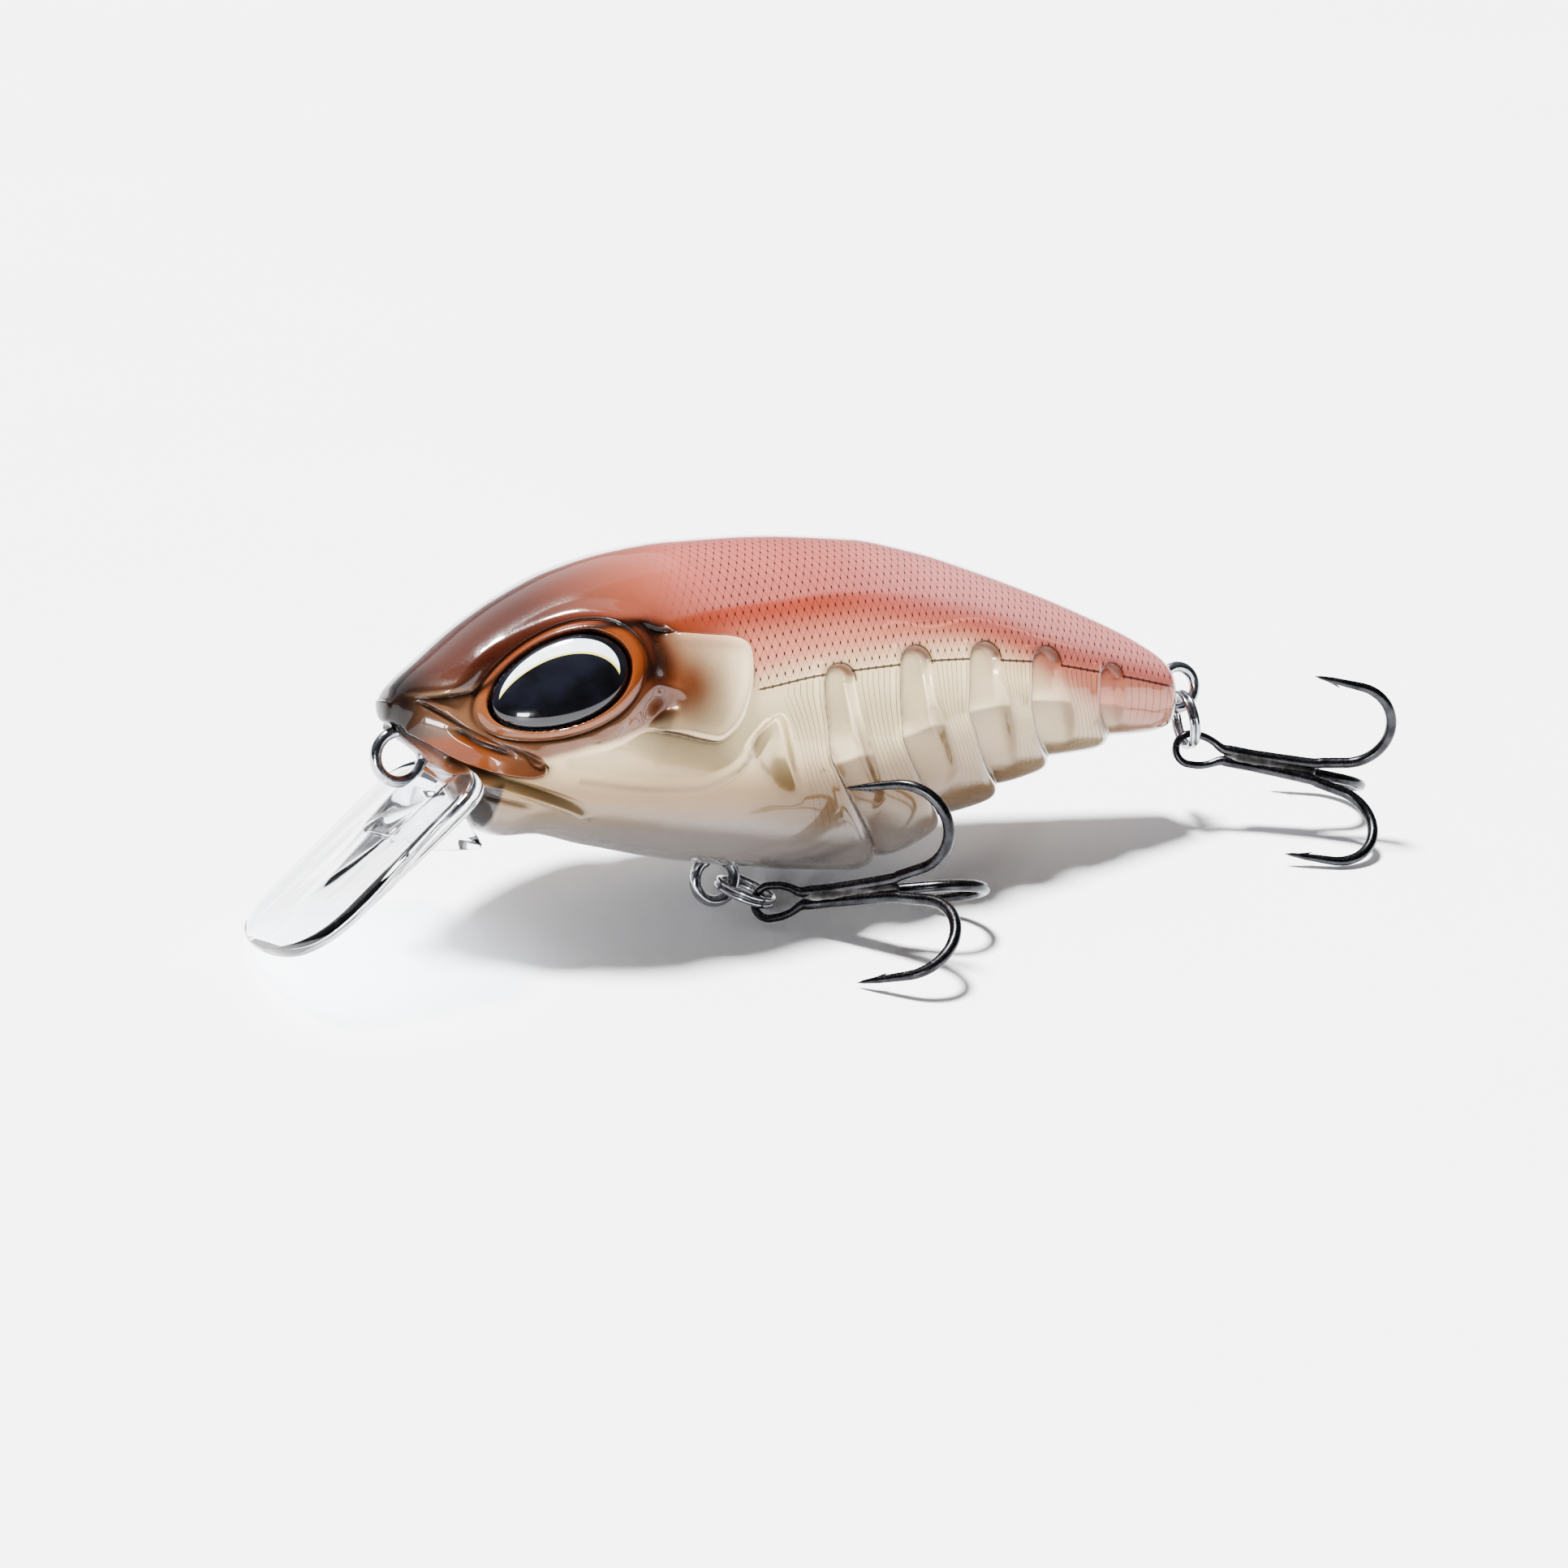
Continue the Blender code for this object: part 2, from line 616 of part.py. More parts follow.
def treble_prong(around):
    """Prong centre line in the hook's frame: shank along +X from the eye's end."""
    direction = Vector((0, -math.cos(around), math.sin(around)))
    points = []
    flare = math.radians(HOOK_FLARE)
    axial, radial = HOOK_SHANK, PRONG_OFFSET
    for k in range(4):
        step = HOOK_RUN * k / 3
        points.append((axial + step * math.cos(flare), radial + step * math.sin(flare)))
    axial, radial = points[-1]
    centre = (axial - HOOK_BEND * math.sin(flare), radial + HOOK_BEND * math.cos(flare))
    bend = math.radians(HOOK_SWEEP)
    for k in range(1, 15):
        heading = flare + bend * k / 14
        points.append((centre[0] + HOOK_BEND * math.sin(heading), centre[1] - HOOK_BEND * math.cos(heading)))
    heading = flare + bend
    end = points[-1]
    for reach in (0.25, 0.5, 0.75, 1.0):
        points.append((end[0] + HOOK_POINT * reach * math.cos(heading),
                       end[1] + HOOK_POINT * reach * math.sin(heading)))
    return [Vector((a, 0, 0)) + direction * r for a, r in points]


def treble_eye_side(sign):
    """One side of the teardrop eye and its leg along the shank, from the eye's far end."""
    half_width = (HOOK_EYE_WIDTH - HOOK_EYE_WIRE) / 2
    leg = HOOK_WIRE / 2 + 0.06
    points = []
    for k in range(7):
        angle = math.pi - math.radians(90) * k / 6
        points.append(Vector((HOOK_EYE_WIRE / 2 + half_width + half_width * math.cos(angle), 0,
                              sign * half_width * math.sin(angle))))
    points.append(Vector((HOOK_EYE_LENGTH * 0.60, 0, sign * half_width * 0.95)))
    points.append(Vector((HOOK_EYE_LENGTH * 0.80, 0, sign * half_width * 0.74)))
    points.append(Vector((HOOK_EYE_LENGTH, 0, sign * leg * 1.08)))
    points.append(Vector((HOOK_EYE_LENGTH + 0.9, 0, sign * leg)))
    points.append(Vector((HOOK_SHANK - 1.6, 0, sign * leg)))
    return points


def wire_factors(count, thin, factor):
    """Thickness factors along a wire: thin for its first points, full, then down to a sharp point."""
    full = count - thin - len(POINT_TAPER)
    return [factor] * thin + [1.0] * full + list(POINT_TAPER)


def make_treble(prefix, parent, pivot, roll):
    """Treble of two pieces: a double hook bent from one wire with its eye, and a brazed third hook."""
    turn = Matrix.Translation(-Vector(pivot)) @ Matrix.Rotation(-math.radians(roll), 4, "X")
    eye_factor = HOOK_EYE_WIRE / HOOK_WIRE
    upper = treble_eye_side(1) + treble_prong(math.radians(60))
    lower = treble_eye_side(-1)[1:] + treble_prong(math.radians(-60))
    path = list(reversed(upper)) + lower
    radii = wire_factors(len(upper), 10, eye_factor)[::-1] + wire_factors(len(lower), 9, eye_factor)
    mesh = wire_mesh(prefix + "_double", [[turn @ point for point in path]], HOOK_WIRE, 2, [radii])
    add_piece(prefix + "_double_hook", mesh, "hook", parent)
    groove = HOOK_WIRE + 0.02
    straight = [Vector((HOOK_EYE_LENGTH + 1.4, groove, 0)), Vector((HOOK_SHANK - 1.0, groove, 0))]
    single = straight + treble_prong(math.radians(180))
    radii = wire_factors(len(single), 1, 0.8)
    mesh = wire_mesh(prefix + "_third", [[turn @ point for point in single]], HOOK_WIRE, 2, [radii])
    add_piece(prefix + "_third_hook", mesh, "hook", parent)


def frame_of(origin, first, second):
    """World matrix with local X along first and local Y near second."""
    along = Vector(first).normalized()
    normal = along.cross(Vector(second)).normalized()
    side = normal.cross(along)
    turn = Matrix((along, side, normal)).transposed().to_4x4()
    return Matrix.Translation(Vector(origin) * MM) @ turn


def make_tackle():
    """Split rings and trebles, each under an empty on its joint's axis."""
    for name, spec in TACKLE.items():
        centre = WORLD["stance"] @ (Vector((spec["eyelet"][0], 0, spec["eyelet"][1])) * MM)
        lure_y = WORLD["stance"].to_3x3() @ Vector((0, 1, 0))
        hinge = frame_of(centre / MM, lure_y, Vector((0, 0, 1)))
        add_empty(name + "_ring_joint", hinge, "stance")
        ring = frame_of(centre / MM + Vector(spec["ring_offset"]), spec["ring_first"], spec["ring_second"])
        add_empty(name + "_ring_pose", ring, name + "_ring_joint")
        mesh = wire_mesh(name + "_split_ring", [ring_path()], RING_WIRE)
        add_piece(name + "_split_ring", mesh, "nickel", name + "_ring_pose")
        pivot = centre / MM + Vector(spec["hook_offset"])
        yaw, pitch = math.radians(spec["hook_yaw"]), math.radians(spec["hook_pitch"])
        shank = Vector((math.cos(yaw) * math.cos(pitch), math.sin(yaw) * math.cos(pitch), math.sin(pitch)))
        level = Vector((-math.sin(yaw), math.cos(yaw), 0))
        hook = frame_of(pivot, shank, level)
        add_empty(name + "_treble_joint", hook, name + "_ring_pose")
        make_treble(name + "_treble", name + "_treble_joint", spec["hook_grip"], spec["hook_roll"])


# ---------------------------------------------------------------- build
stance = (Matrix.Translation(Vector((ORIGIN_SHIFT[0], ORIGIN_SHIFT[1], STANCE_HEIGHT)) * MM)
          @ Matrix.Rotation(math.radians(STANCE_LEAN), 4, "X")
          @ Matrix.Rotation(math.radians(STANCE_TRIM), 4, "Y"))
add_empty("stance", stance)
make_body()
make_eyes()
make_lip()
make_hangers()
make_weights()
make_tackle()
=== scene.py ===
"""Looks of the clear-lipped crankbait: moulded and airbrushed body, clear lip, eyes, wire hardware.

The body is shaped in its own upright frame, in mm, with the nose at -X and the left flank at -Y.
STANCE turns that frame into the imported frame, where the lure leans on one corner of its lip.
"""

import json
import math

import bpy
import numpy as np
from mathutils import Matrix, Vector


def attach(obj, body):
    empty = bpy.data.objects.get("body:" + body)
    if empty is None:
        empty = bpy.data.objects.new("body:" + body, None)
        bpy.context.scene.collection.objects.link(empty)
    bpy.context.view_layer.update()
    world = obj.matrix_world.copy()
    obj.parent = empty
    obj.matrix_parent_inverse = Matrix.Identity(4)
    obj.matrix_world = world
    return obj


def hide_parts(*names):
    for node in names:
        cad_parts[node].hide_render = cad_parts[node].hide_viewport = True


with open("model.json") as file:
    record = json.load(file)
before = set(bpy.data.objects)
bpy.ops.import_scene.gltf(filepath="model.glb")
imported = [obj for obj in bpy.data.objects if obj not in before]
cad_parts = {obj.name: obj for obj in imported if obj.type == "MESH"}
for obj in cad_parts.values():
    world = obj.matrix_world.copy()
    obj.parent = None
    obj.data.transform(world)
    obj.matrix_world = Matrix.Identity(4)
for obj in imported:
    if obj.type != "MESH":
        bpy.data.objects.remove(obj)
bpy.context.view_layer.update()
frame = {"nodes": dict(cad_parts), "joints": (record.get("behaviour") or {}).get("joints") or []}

MM = 0.001
JOINTS = {joint["name"]: joint for joint in frame["joints"]}


def turn(degrees, axis):
    """Rotation about an axis."""
    return Matrix.Rotation(math.radians(degrees), 4, axis)


def shift(place):
    """Translation by a place in mm."""
    return Matrix.Translation(Vector(place) * MM)


def srgb(red, green, blue):
    """Linear colour from display values of 0 to 255."""
    return tuple(((level / 255 + 0.055) / 1.055) ** 2.4 for level in (red, green, blue))


# ---- driving dimensions, mm and degrees
NOSE = -32.75
TAIL = 31.5
SECTION_POWER = 2.25
WAIST_RISE = 0.6
NOSE_CAP = 0.35
TAIL_CAP = 0.3

STANCE = shift((-2.341, 5.898, 13.21)) @ turn(-19.95, "X") @ turn(7.41, "Y")

TOP = ((-32.75, 0.3), (-32.2, 1.2), (-30.0, 3.2), (-27.0, 5.7), (-24.0, 7.7), (-20.3, 9.6),
       (-15.9, 11.0), (-11.4, 11.8), (-2.3, 12.4), (3.0, 12.3), (7.8, 11.6), (12.7, 10.4),
       (22.8, 7.2), (29.6, 4.3), (30.8, 3.3), (31.3, 2.2), (31.5, 1.0))
BOTTOM = ((-32.75, -1.2), (-32.2, -1.9), (-30.0, -3.6), (-28.0, -5.4), (-26.9, -7.2),
          (-25.6, -8.8), (-24.0, -9.2), (-22.0, -9.1), (-17.7, -9.9), (-10.0, -11.2),
          (0.0, -12.0), (5.4, -12.1), (10.8, -9.2), (16.0, -6.8), (20.6, -4.7),
          (25.9, -3.1), (30.6, -1.9), (31.2, -1.6), (31.5, -1.0))
HALF_WIDTH = ((-32.75, 1.3), (-32.2, 2.2), (-30.0, 4.0), (-26.0, 6.2), (-20.0, 8.0), (-12.0, 8.8),
              (-4.0, 8.8), (4.0, 8.2), (12.0, 6.7), (20.0, 4.9), (28.0, 3.1), (30.6, 2.4),
              (31.2, 1.9), (31.5, 1.3))

# creases and ridges of the head, drawn on the flank as (x, z)
BROW = ((-32.0, 0.75), (-30.8, 0.8), (-29.0, 1.15), (-27.4, 1.95), (-25.9, 3.25), (-23.2, 4.9),
        (-20.3, 5.8), (-17.3, 6.15), (-15.4, 5.85), (-14.0, 5.5))
VALLEY = ((-15.9, 5.4), (-15.55, 4.4), (-15.5, 3.2), (-15.8, 2.3))
EYE_BACK_RIDGE = ((-21.7, -2.1), (-19.5, -1.8), (-18.3, -0.6), (-17.4, 0.7), (-16.4, 1.45),
                  (-15.1, 1.65), (-14.3, 1.35), (-13.6, 0.6))
GILL_PLATE = ((-15.0, 5.5), (-14.0, 5.4), (-12.3, 5.3), (-10.3, 5.2), (-9.2, 4.85), (-8.75, 4.0),
              (-8.75, 2.2), (-9.1, 0.7), (-9.6, -0.5), (-10.4, -1.5), (-11.3, -2.05), (-12.7, -1.9),
              (-14.0, -1.6), (-15.3, -1.4), (-16.7, -1.3), (-18.5, -1.95))
CHEEK = ((-23.3, -4.6), (-20.5, -4.8), (-17.0, -5.2), (-12.8, -5.3), (-11.0, -4.9), (-9.4, -3.9),
         (-8.3, -2.3), (-7.2, -0.7))
JAW_CREASE = ((-31.6, 0.4), (-30.1, -0.5), (-28.5, -1.5), (-26.7, -2.4), (-24.8, -3.1), (-23.5, -3.75))
JAW_SLOT = ((-29.6, -1.2), (-28.4, -2.1), (-27.1, -2.75), (-25.2, -3.3))
MAXILLA = ((-32.2, -1.5), (-30.4, -2.5), (-28.7, -3.5), (-27.3, -4.15), (-25.8, -4.6), (-24.3, -4.75),
           (-23.45, -4.55), (-23.2, -4.15), (-23.45, -3.75))
MOUTH = ((-32.9, -1.3), (-31.2, -2.35), (-29.9, -3.15), (-28.8, -3.85), (-27.5, -4.5), (-25.8, -5.0))
JAW_RIDGE = ((-29.6, -3.9), (-27.6, -4.85), (-25.7, -5.45), (-23.2, -6.2), (-20.9, -6.95), (-19.0, -7.9))
CHIN_CREASE = ((-27.7, -5.8), (-26.2, -6.3), (-24.6, -6.7), (-23.3, -6.95))
# creases and ridges of constant section: the curve, its fades at both ends, then soft bands of height in
# mm and soft bands of painted shade beside it, each as (amount, offset, width)
CREASES = (
    (EYE_BACK_RIDGE, (0.2, 0.25), ((0.42, 0, 0.3),), ()),
    (JAW_CREASE, (0.1, 0.12), ((-0.32, 0, 0.16), (0.18, 0.45, 0.35)), ((0.75, 0, 0.17),)),
    (JAW_SLOT, (0.25, 0.25), ((-0.5, 0, 0.22),), ((1.0, 0, 0.26),)),
    (MOUTH, (0.02, 0.3), ((-0.6, 0, 0.2),), ((1.0, 0, 0.26),)),
    (JAW_RIDGE, (0.15, 0.12), ((0.5, 0, 0.24),), ()),
    (JAW_RIDGE, (0.1, 0.5), ((-0.25, 0.45, 0.2),), ()),
    (JAW_RIDGE, (0.1, 0.6), (), ((0.8, 0.42, 0.15),)),
    (CHIN_CREASE, (0.3, 0.3), ((-0.25, 0, 0.16),), ((0.5, 0, 0.14),)),
)
FOLD = ((-7.3, -0.55), (-6.5, -0.2), (-5.85, -0.7), (-5.4, -2.0), (-4.7, -4.0), (-3.9, -6.0), (-3.3, -7.8))
FOLD_SHOULDER = ((-7.0, -0.1), (-9.5, -2.5), (-11.6, -5.0))
LATERAL = ((-14.0, 0.6), (-8.2, 1.5), (-3.4, 2.5), (-0.3, 2.9), (3.5, 3.3), (6.8, 3.6), (9.9, 3.7),
           (13.4, 3.6), (15.9, 3.5), (19.0, 3.2), (22.9, 2.7), (25.2, 2.4), (30.4, 1.6), (31.5, 1.4))
# top edge of the red band, which follows the sharp edge of a reflection on the back
RED_BAND = ((-15.5, 5.9), (-11.3, 6.9), (-6.3, 7.6), (0.2, 8.3), (7.0, 8.0), (12.7, 7.1), (18.5, 5.2),
            (24.7, 3.8), (31.5, 2.4))
# edge between the upper flank in the key light and the lower flank in shade, as (x, z)
SHADE_EDGE = ((-12.0, -7.0), (-5.0, -5.0), (-1.0, -4.0), (5.0, -1.8), (11.5, 0.0), (17.0, 0.6), (24.0, 0.2),
           (31.5, -0.5))
SCALLOPS = ((1.5, 5.4), (3.0, 6.3), (6.5, 6.0), (10.1, 6.6), (13.3, 6.1), (18.4, 4.9), (22.0, 4.2))

# overlapping tail plates: top of the pocket, then its left and right edge as (z, x) from the belly up
POCKETS = (
    (3.4, ((-12.2, 5.4), (-9.3, 2.8), (-7.5, 1.2), (-5.8, -0.3), (-4.3, -1.5), (-3.2, -2.2), (-0.7, -2.7),
           (0.8, -2.95), (2.0, -3.0)), ((-6.5, 3.3), (-5.2, 2.5), (-3.4, 1.5), (-0.5, 0.3), (2.0, -0.4))),
    (4.7, ((-9.3, 10.8), (-6.0, 7.1), (-3.7, 5.0), (-1.7, 3.8), (1.2, 3.4), (3.4, 3.45)),
     ((-4.6, 9.7), (-3.3, 8.9), (0.3, 7.0), (2.6, 6.4), (4.0, 6.2))),
    (5.0, ((-6.9, 16.0), (-4.3, 12.7), (-2.0, 10.9), (0.3, 9.75), (3.2, 9.8)),
     ((-4.2, 15.9), (-3.0, 15.2), (0.3, 13.8), (3.0, 12.9), (4.4, 12.8))),
    (4.65, ((-4.8, 20.6), (-2.4, 17.6), (-0.9, 16.5), (0.5, 15.9), (2.8, 15.85)),
     ((-2.9, 21.4), (-2.1, 21.1), (-0.2, 20.3), (2.5, 18.9), (4.0, 18.75))),
    (3.4, ((-3.1, 25.9), (-1.0, 23.8), (0.2, 23.05), (1.1, 22.8), (2.4, 22.8)),
     ((-2.0, 26.3), (0.2, 25.6), (2.1, 25.2), (2.9, 25.1))),
)
KEEL_STREAKS = (
    # faint dark streaks on the keel: the curve, its offset, width, fades and strength
    (((-8.5, -11.4), (-3.5, -11.2), (0.5, -10.3), (2.6, -8.9)), 0.1, 0.45, (0.3, 0.3), 0.4),
    (((-5.5, -10.9), (-2.0, -10.2), (0.2, -8.6)), 0.0, 0.3, (0.4, 0.3), 0.25),
)
FRONT_PLATE = ((-9.0, -2.6), (-6.0, -3.7), (-4.0, -4.5), (-1.8, -5.3), (0.0, -6.2), (1.2, -6.9))
POCKET_DEPTH = 0.75
BELLY_STEP = 1.2
FINE_LINES = 8
SCALE_PITCH = 0.65
SCALE_ROW = 0.7
# spacing of the skin's vertices along the head and along the tail, and their number round each half
FINE_GRID = (0.085, 0.13, 340)

EYE_CENTRE = (-22.6, 1.75)
EYE_SPREAD = 6.85
EYE_OUT = (-0.42, 0.88, 0.22)
EYE_LONG = 9.8
EYE_SHORT = 5.9
EYE_TILT = 18.0
EYE_EGG = 0.13  # how much narrower the eye is towards the nose
SOCKET_FLOOR = -1.15

LIP_THICKNESS = 1.4
LIP_HALF_WIDTH = 8.3
LIP_LENGTH = 16.9
LIP_ROOT = (-28.7, -5.42)
LIP_PITCH = 42.5
# half width along the lip: tongue, shoulder, straight sides, rounded corners and bowed front
LIP_PLAN = ((-6.6, 2.9), (-2.0, 3.1), (-1.5, 3.6), (-1.0, 5.8), (-0.2, 7.3), (0.9, 8.1),
            (2.4, LIP_HALF_WIDTH), (12.2, LIP_HALF_WIDTH), (13.6, 8.0), (14.8, 7.25), (15.8, 5.9),
            (16.4, 4.3), (16.75, 2.5), (LIP_LENGTH, 0.2))
WEDGE_PROFILE = ((0.4, -0.5), (5.4, -0.5), (4.6, -1.9), (2.2, -4.2), (1.0, -5.0), (0.7, -3.4))
WEDGE_HALF_WIDTH = 2.6

EYELET_WIRE = 0.84
HANGER_OPENING = 28
HANGERS = {
    # centre in the body's XZ plane, eye radius, leg depth, turn about Y in degrees
    "line_tie_eyelet": ((-31.53, -3.61), 1.74, 6.0, 52.0),
    "belly_eyelet": ((-6.96, -12.62), 1.59, 5.4, 0.0),
    "tail_eyelet": ((32.54, 1.44), 1.59, 6.0, -96.0),
}
RING_WIRE = 0.42
RING_RADIUS = 2.12
RING_TURNS = 1.95
HOOK_WIRE = 0.84
HOOK_SHANK = 10.36
PRONG_OFFSET = 0.62
HOOK_FLARE = 11.9
HOOK_RUN = 3.19
HOOK_BEND = 3.30
HOOK_SWEEP = 165.7
HOOK_POINT = 3.78
HOOK_EYE_WIRE = 0.58
HOOK_EYE_LENGTH = 3.9
HOOK_EYE_WIDTH = 2.95
TACKLE = {
    "belly": dict(ring_offset=(1.83, -1.37, -0.62), ring_first=(-0.143, 0.982, -0.120),
                  ring_second=(-0.836, -0.055, 0.546), ring_open=12,
                  hook_yaw=-44.4, hook_pitch=18.4, hook_roll=30.0, hook_grip=(1.27, 0.10, 0.01)),
    "tail": dict(ring_offset=(0.58, -0.78, -2.46), ring_first=(-0.017, 0.460, 0.888),
                 ring_second=(-0.225, -0.867, 0.445), ring_open=0,
                 hook_yaw=-27.7, hook_pitch=-7.5, hook_roll=27.6, hook_grip=(1.42, 0.12, 0.20)),
}
WIRE_GAP = 0.02  # between two wires that lie side by side

# lights: name, kind, place in m, power, and width in m or a sun's angle in radians
LIGHTS = (
    ("key", "SUN", (-0.14, 0.20, 0.80), 22.0, math.radians(11)),
    ("fill", "AREA", (-0.38, -0.43, 0.09), 2.6, 0.08),
    ("softbox", "AREA", (-0.05, 0.36, 0.32), 0.9, 0.5),
)
WORLD_COLOUR = (0.80, 0.87, 1.0, 1)
WORLD_BRIGHT_SIDE = (0.12, 0.72, 0.68)
WORLD_RANGE = (-0.25, 0.6, 0.03, 0.25)
FLOOR_HALF = 2500
FLOOR_LEVEL = -0.02
CAMERA_PLACE = (-0.124811, -0.206379, 0.118696)
CAMERA_YAW, CAMERA_PITCH, CAMERA_ROLL = 29.7514, 24.5432, 4.5356
CAMERA_LENS = 83.86

PAINT = {
    # airbrush and pearl colours of the body; sand, belly, umber and dark also serve as painted shade, and
    # gill as painted light in the pockets
    "champagne": srgb(242, 218, 168), "sand": srgb(118, 92, 56), "belly": srgb(92, 86, 82),
    "salmon": srgb(150, 76, 68), "red": srgb(128, 44, 30), "pink": srgb(190, 112, 90),
    "rose": srgb(172, 108, 104), "brown": srgb(72, 30, 8), "dark": srgb(8, 3, 2), "orange": srgb(112, 50, 8),
    "forehead": srgb(38, 13, 5), "gill": srgb(238, 214, 168), "smoke": srgb(34, 32, 34),
    "umber": srgb(76, 54, 31), "rust": srgb(78, 30, 4),
}
METALS = {
    # bright and dull tone, least and greatest roughness
    "nickel_wire": (srgb(176, 177, 181), srgb(140, 141, 147), 0.10, 0.22),
    "black_nickel": (srgb(52, 52, 55), srgb(30, 30, 32), 0.18, 0.32),
    "braze": (srgb(104, 102, 100), srgb(66, 64, 64), 0.28, 0.45),
    "eye_foil": (srgb(232, 230, 214), srgb(206, 204, 190), 0.2, 0.35),
    "cast_lead": (srgb(112, 114, 120), srgb(84, 86, 92), 0.45, 0.65),
    "steel_ball": (srgb(190, 190, 194), srgb(170, 170, 176), 0.12, 0.22),
}


# ---- small numeric tools
def smooth(knots, at):
    """Monotone cubic through the knots, read at an array of places."""
    places, values = np.array(knots, float).T
    at = np.clip(at, places[0], places[-1])
    slopes = np.diff(values) / np.diff(places)
    both = slopes[:-1] * slopes[1:]
    total = np.where(both > 0, slopes[:-1] + slopes[1:], 1.0)
    inner = np.where(both > 0, 2 * both / total, 0.0)
    tangents = np.concatenate([slopes[:1], inner, slopes[-1:]])
    i = np.clip(np.searchsorted(places, at, side="right") - 1, 0, len(places) - 2)
    span = places[i + 1] - places[i]
    t = (at - places[i]) / span
    rise = t * t * (3 - 2 * t)
    lead = t * (1 - t) ** 2 * span
    trail = t * t * (t - 1) * span
    return values[i] + (values[i + 1] - values[i]) * rise + tangents[i] * lead + tangents[i + 1] * trail


def ramp(value, low, high):
    """0 at low, 1 at high, smooth between and flat beyond."""
    t = np.clip((value - low) / (high - low), 0, 1)
    return t * t * (3 - 2 * t)


def bell(distance, width):
    """1 at zero distance, falling away over the width."""
    return np.exp(-(distance / width) ** 2)


def bands(distance, strokes):
    """Sum of soft bands beside a curve, each given as (amount, offset, width)."""
    return sum(amount * bell(distance - offset, width) for amount, offset, width in strokes)


def ledge(distance, low, high, reach):
    """Step up across a curve between two distances, dying away over its reach beyond the curve."""
    return ramp(distance, low, high) * np.exp(-np.maximum(distance, 0) / reach)


def spot(x, z, centre, radii):
    """Soft round spot: 1 at its centre, falling away over its radii."""
    return bell(np.hypot((x - centre[0]) / radii[0], (z - centre[1]) / radii[1]), 1.0)


def window(along, rise, fall):
    """Fades a feature in over its first share and out over its last."""
    return ramp(along, 0, rise) * ramp(along, 1, 1 - fall)


def spline(points, steps):
    """Catmull-Rom curve through points of any dimension."""
    p = np.array(points, float)
    p = np.vstack([2 * p[0] - p[1], p, 2 * p[-1] - p[-2]])
    t = (np.arange(steps) / steps)[:, None]
    parts = []
    for a, b, c, d in zip(p[:-3], p[1:-2], p[2:-1], p[3:]):
        parts.append(0.5 * (2 * b + (c - a) * t + (2 * a - 5 * b + 4 * c - d) * t ** 2
                            + (3 * b - a - 3 * c + d) * t ** 3))
    return np.vstack(parts + [p[-2:-1]])


def trace(x, z, points, steps=5):
    """Signed distance to a curve (positive on its left) and the share of its length at the nearest point."""
    line = spline(points, steps)
    lengths = np.hypot(*np.diff(line, axis=0).T)
    best = np.full(x.shape, 1e9)
    signed = np.zeros(x.shape)
    along = np.zeros(x.shape)
    travelled = 0.0
    for start, end, length in zip(line[:-1], line[1:], lengths):
        dx, dz = end - start
        t = np.clip(((x - start[0]) * dx + (z - start[1]) * dz) / length ** 2, 0, 1)
        ex = x - start[0] - t * dx
        ez = z - start[1] - t * dz
        distance = np.hypot(ex, ez)
        closer = distance < best
        best = np.where(closer, distance, best)
        signed = np.where(closer, np.where(dx * ez - dz * ex > 0, distance, -distance), signed)
        along = np.where(closer, travelled + t * length, along)
        travelled += length
    return signed, along / travelled


def blend(under, over, share):
    """Mix colours over a field of shares."""
    return under + (np.array(over) - under) * share[..., None]


def grid_faces(rows, columns, closed=False):
    """Quads of a grid of vertices, listed row by row."""
    i, j = np.meshgrid(np.arange(rows - 1), np.arange(columns if closed else columns - 1), indexing="ij")
    after = (j + 1) % columns
    here, below = i * columns, (i + 1) * columns
    return np.stack([here + j, here + after, below + after, below + j]).reshape(4, -1).T


def closed_faces(rows, columns):
    """Faces of a run of closed rings of vertices, with a cap over each end."""
    last = columns * (rows - 1)
    caps = [list(range(columns))[::-1], list(range(last, last + columns))]
    return grid_faces(rows, columns, closed=True).tolist() + caps


def make_mesh(name, points, faces):
    """Mesh object from points in mm."""
    mesh = bpy.data.meshes.new(name)
    corners = (np.asarray(points).reshape(-1, 3) * MM).tolist()
    mesh.from_pydata(corners, [], [list(map(int, face)) for face in faces])
    mesh.shade_smooth()
    piece = bpy.data.objects.new(name, mesh)
    bpy.context.scene.collection.objects.link(piece)
    return piece


def add_field(piece, name, values):
    """Store a value, a vector or a colour for each vertex of a grid, for the material to read."""
    size = values.shape[2] if values.ndim == 3 else 1
    kind, key = {1: ("FLOAT", "value"), 3: ("FLOAT_VECTOR", "vector"), 4: ("FLOAT_COLOR", "color")}[size]
    store = piece.data.attributes.new(name, kind, "POINT").data
    store.foreach_set(key, np.asarray(values, np.float32).ravel())


def add_piece(name, shape, look, world, body, slot, *nodes):
    """Piece from its points and faces, on its body, standing for its CAD nodes."""
    piece = make_mesh(name, *shape)
    piece.data.materials.append(look)
    piece.data.transform(world)
    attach(piece, body)
    if nodes:
        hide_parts(*nodes)
    return piece


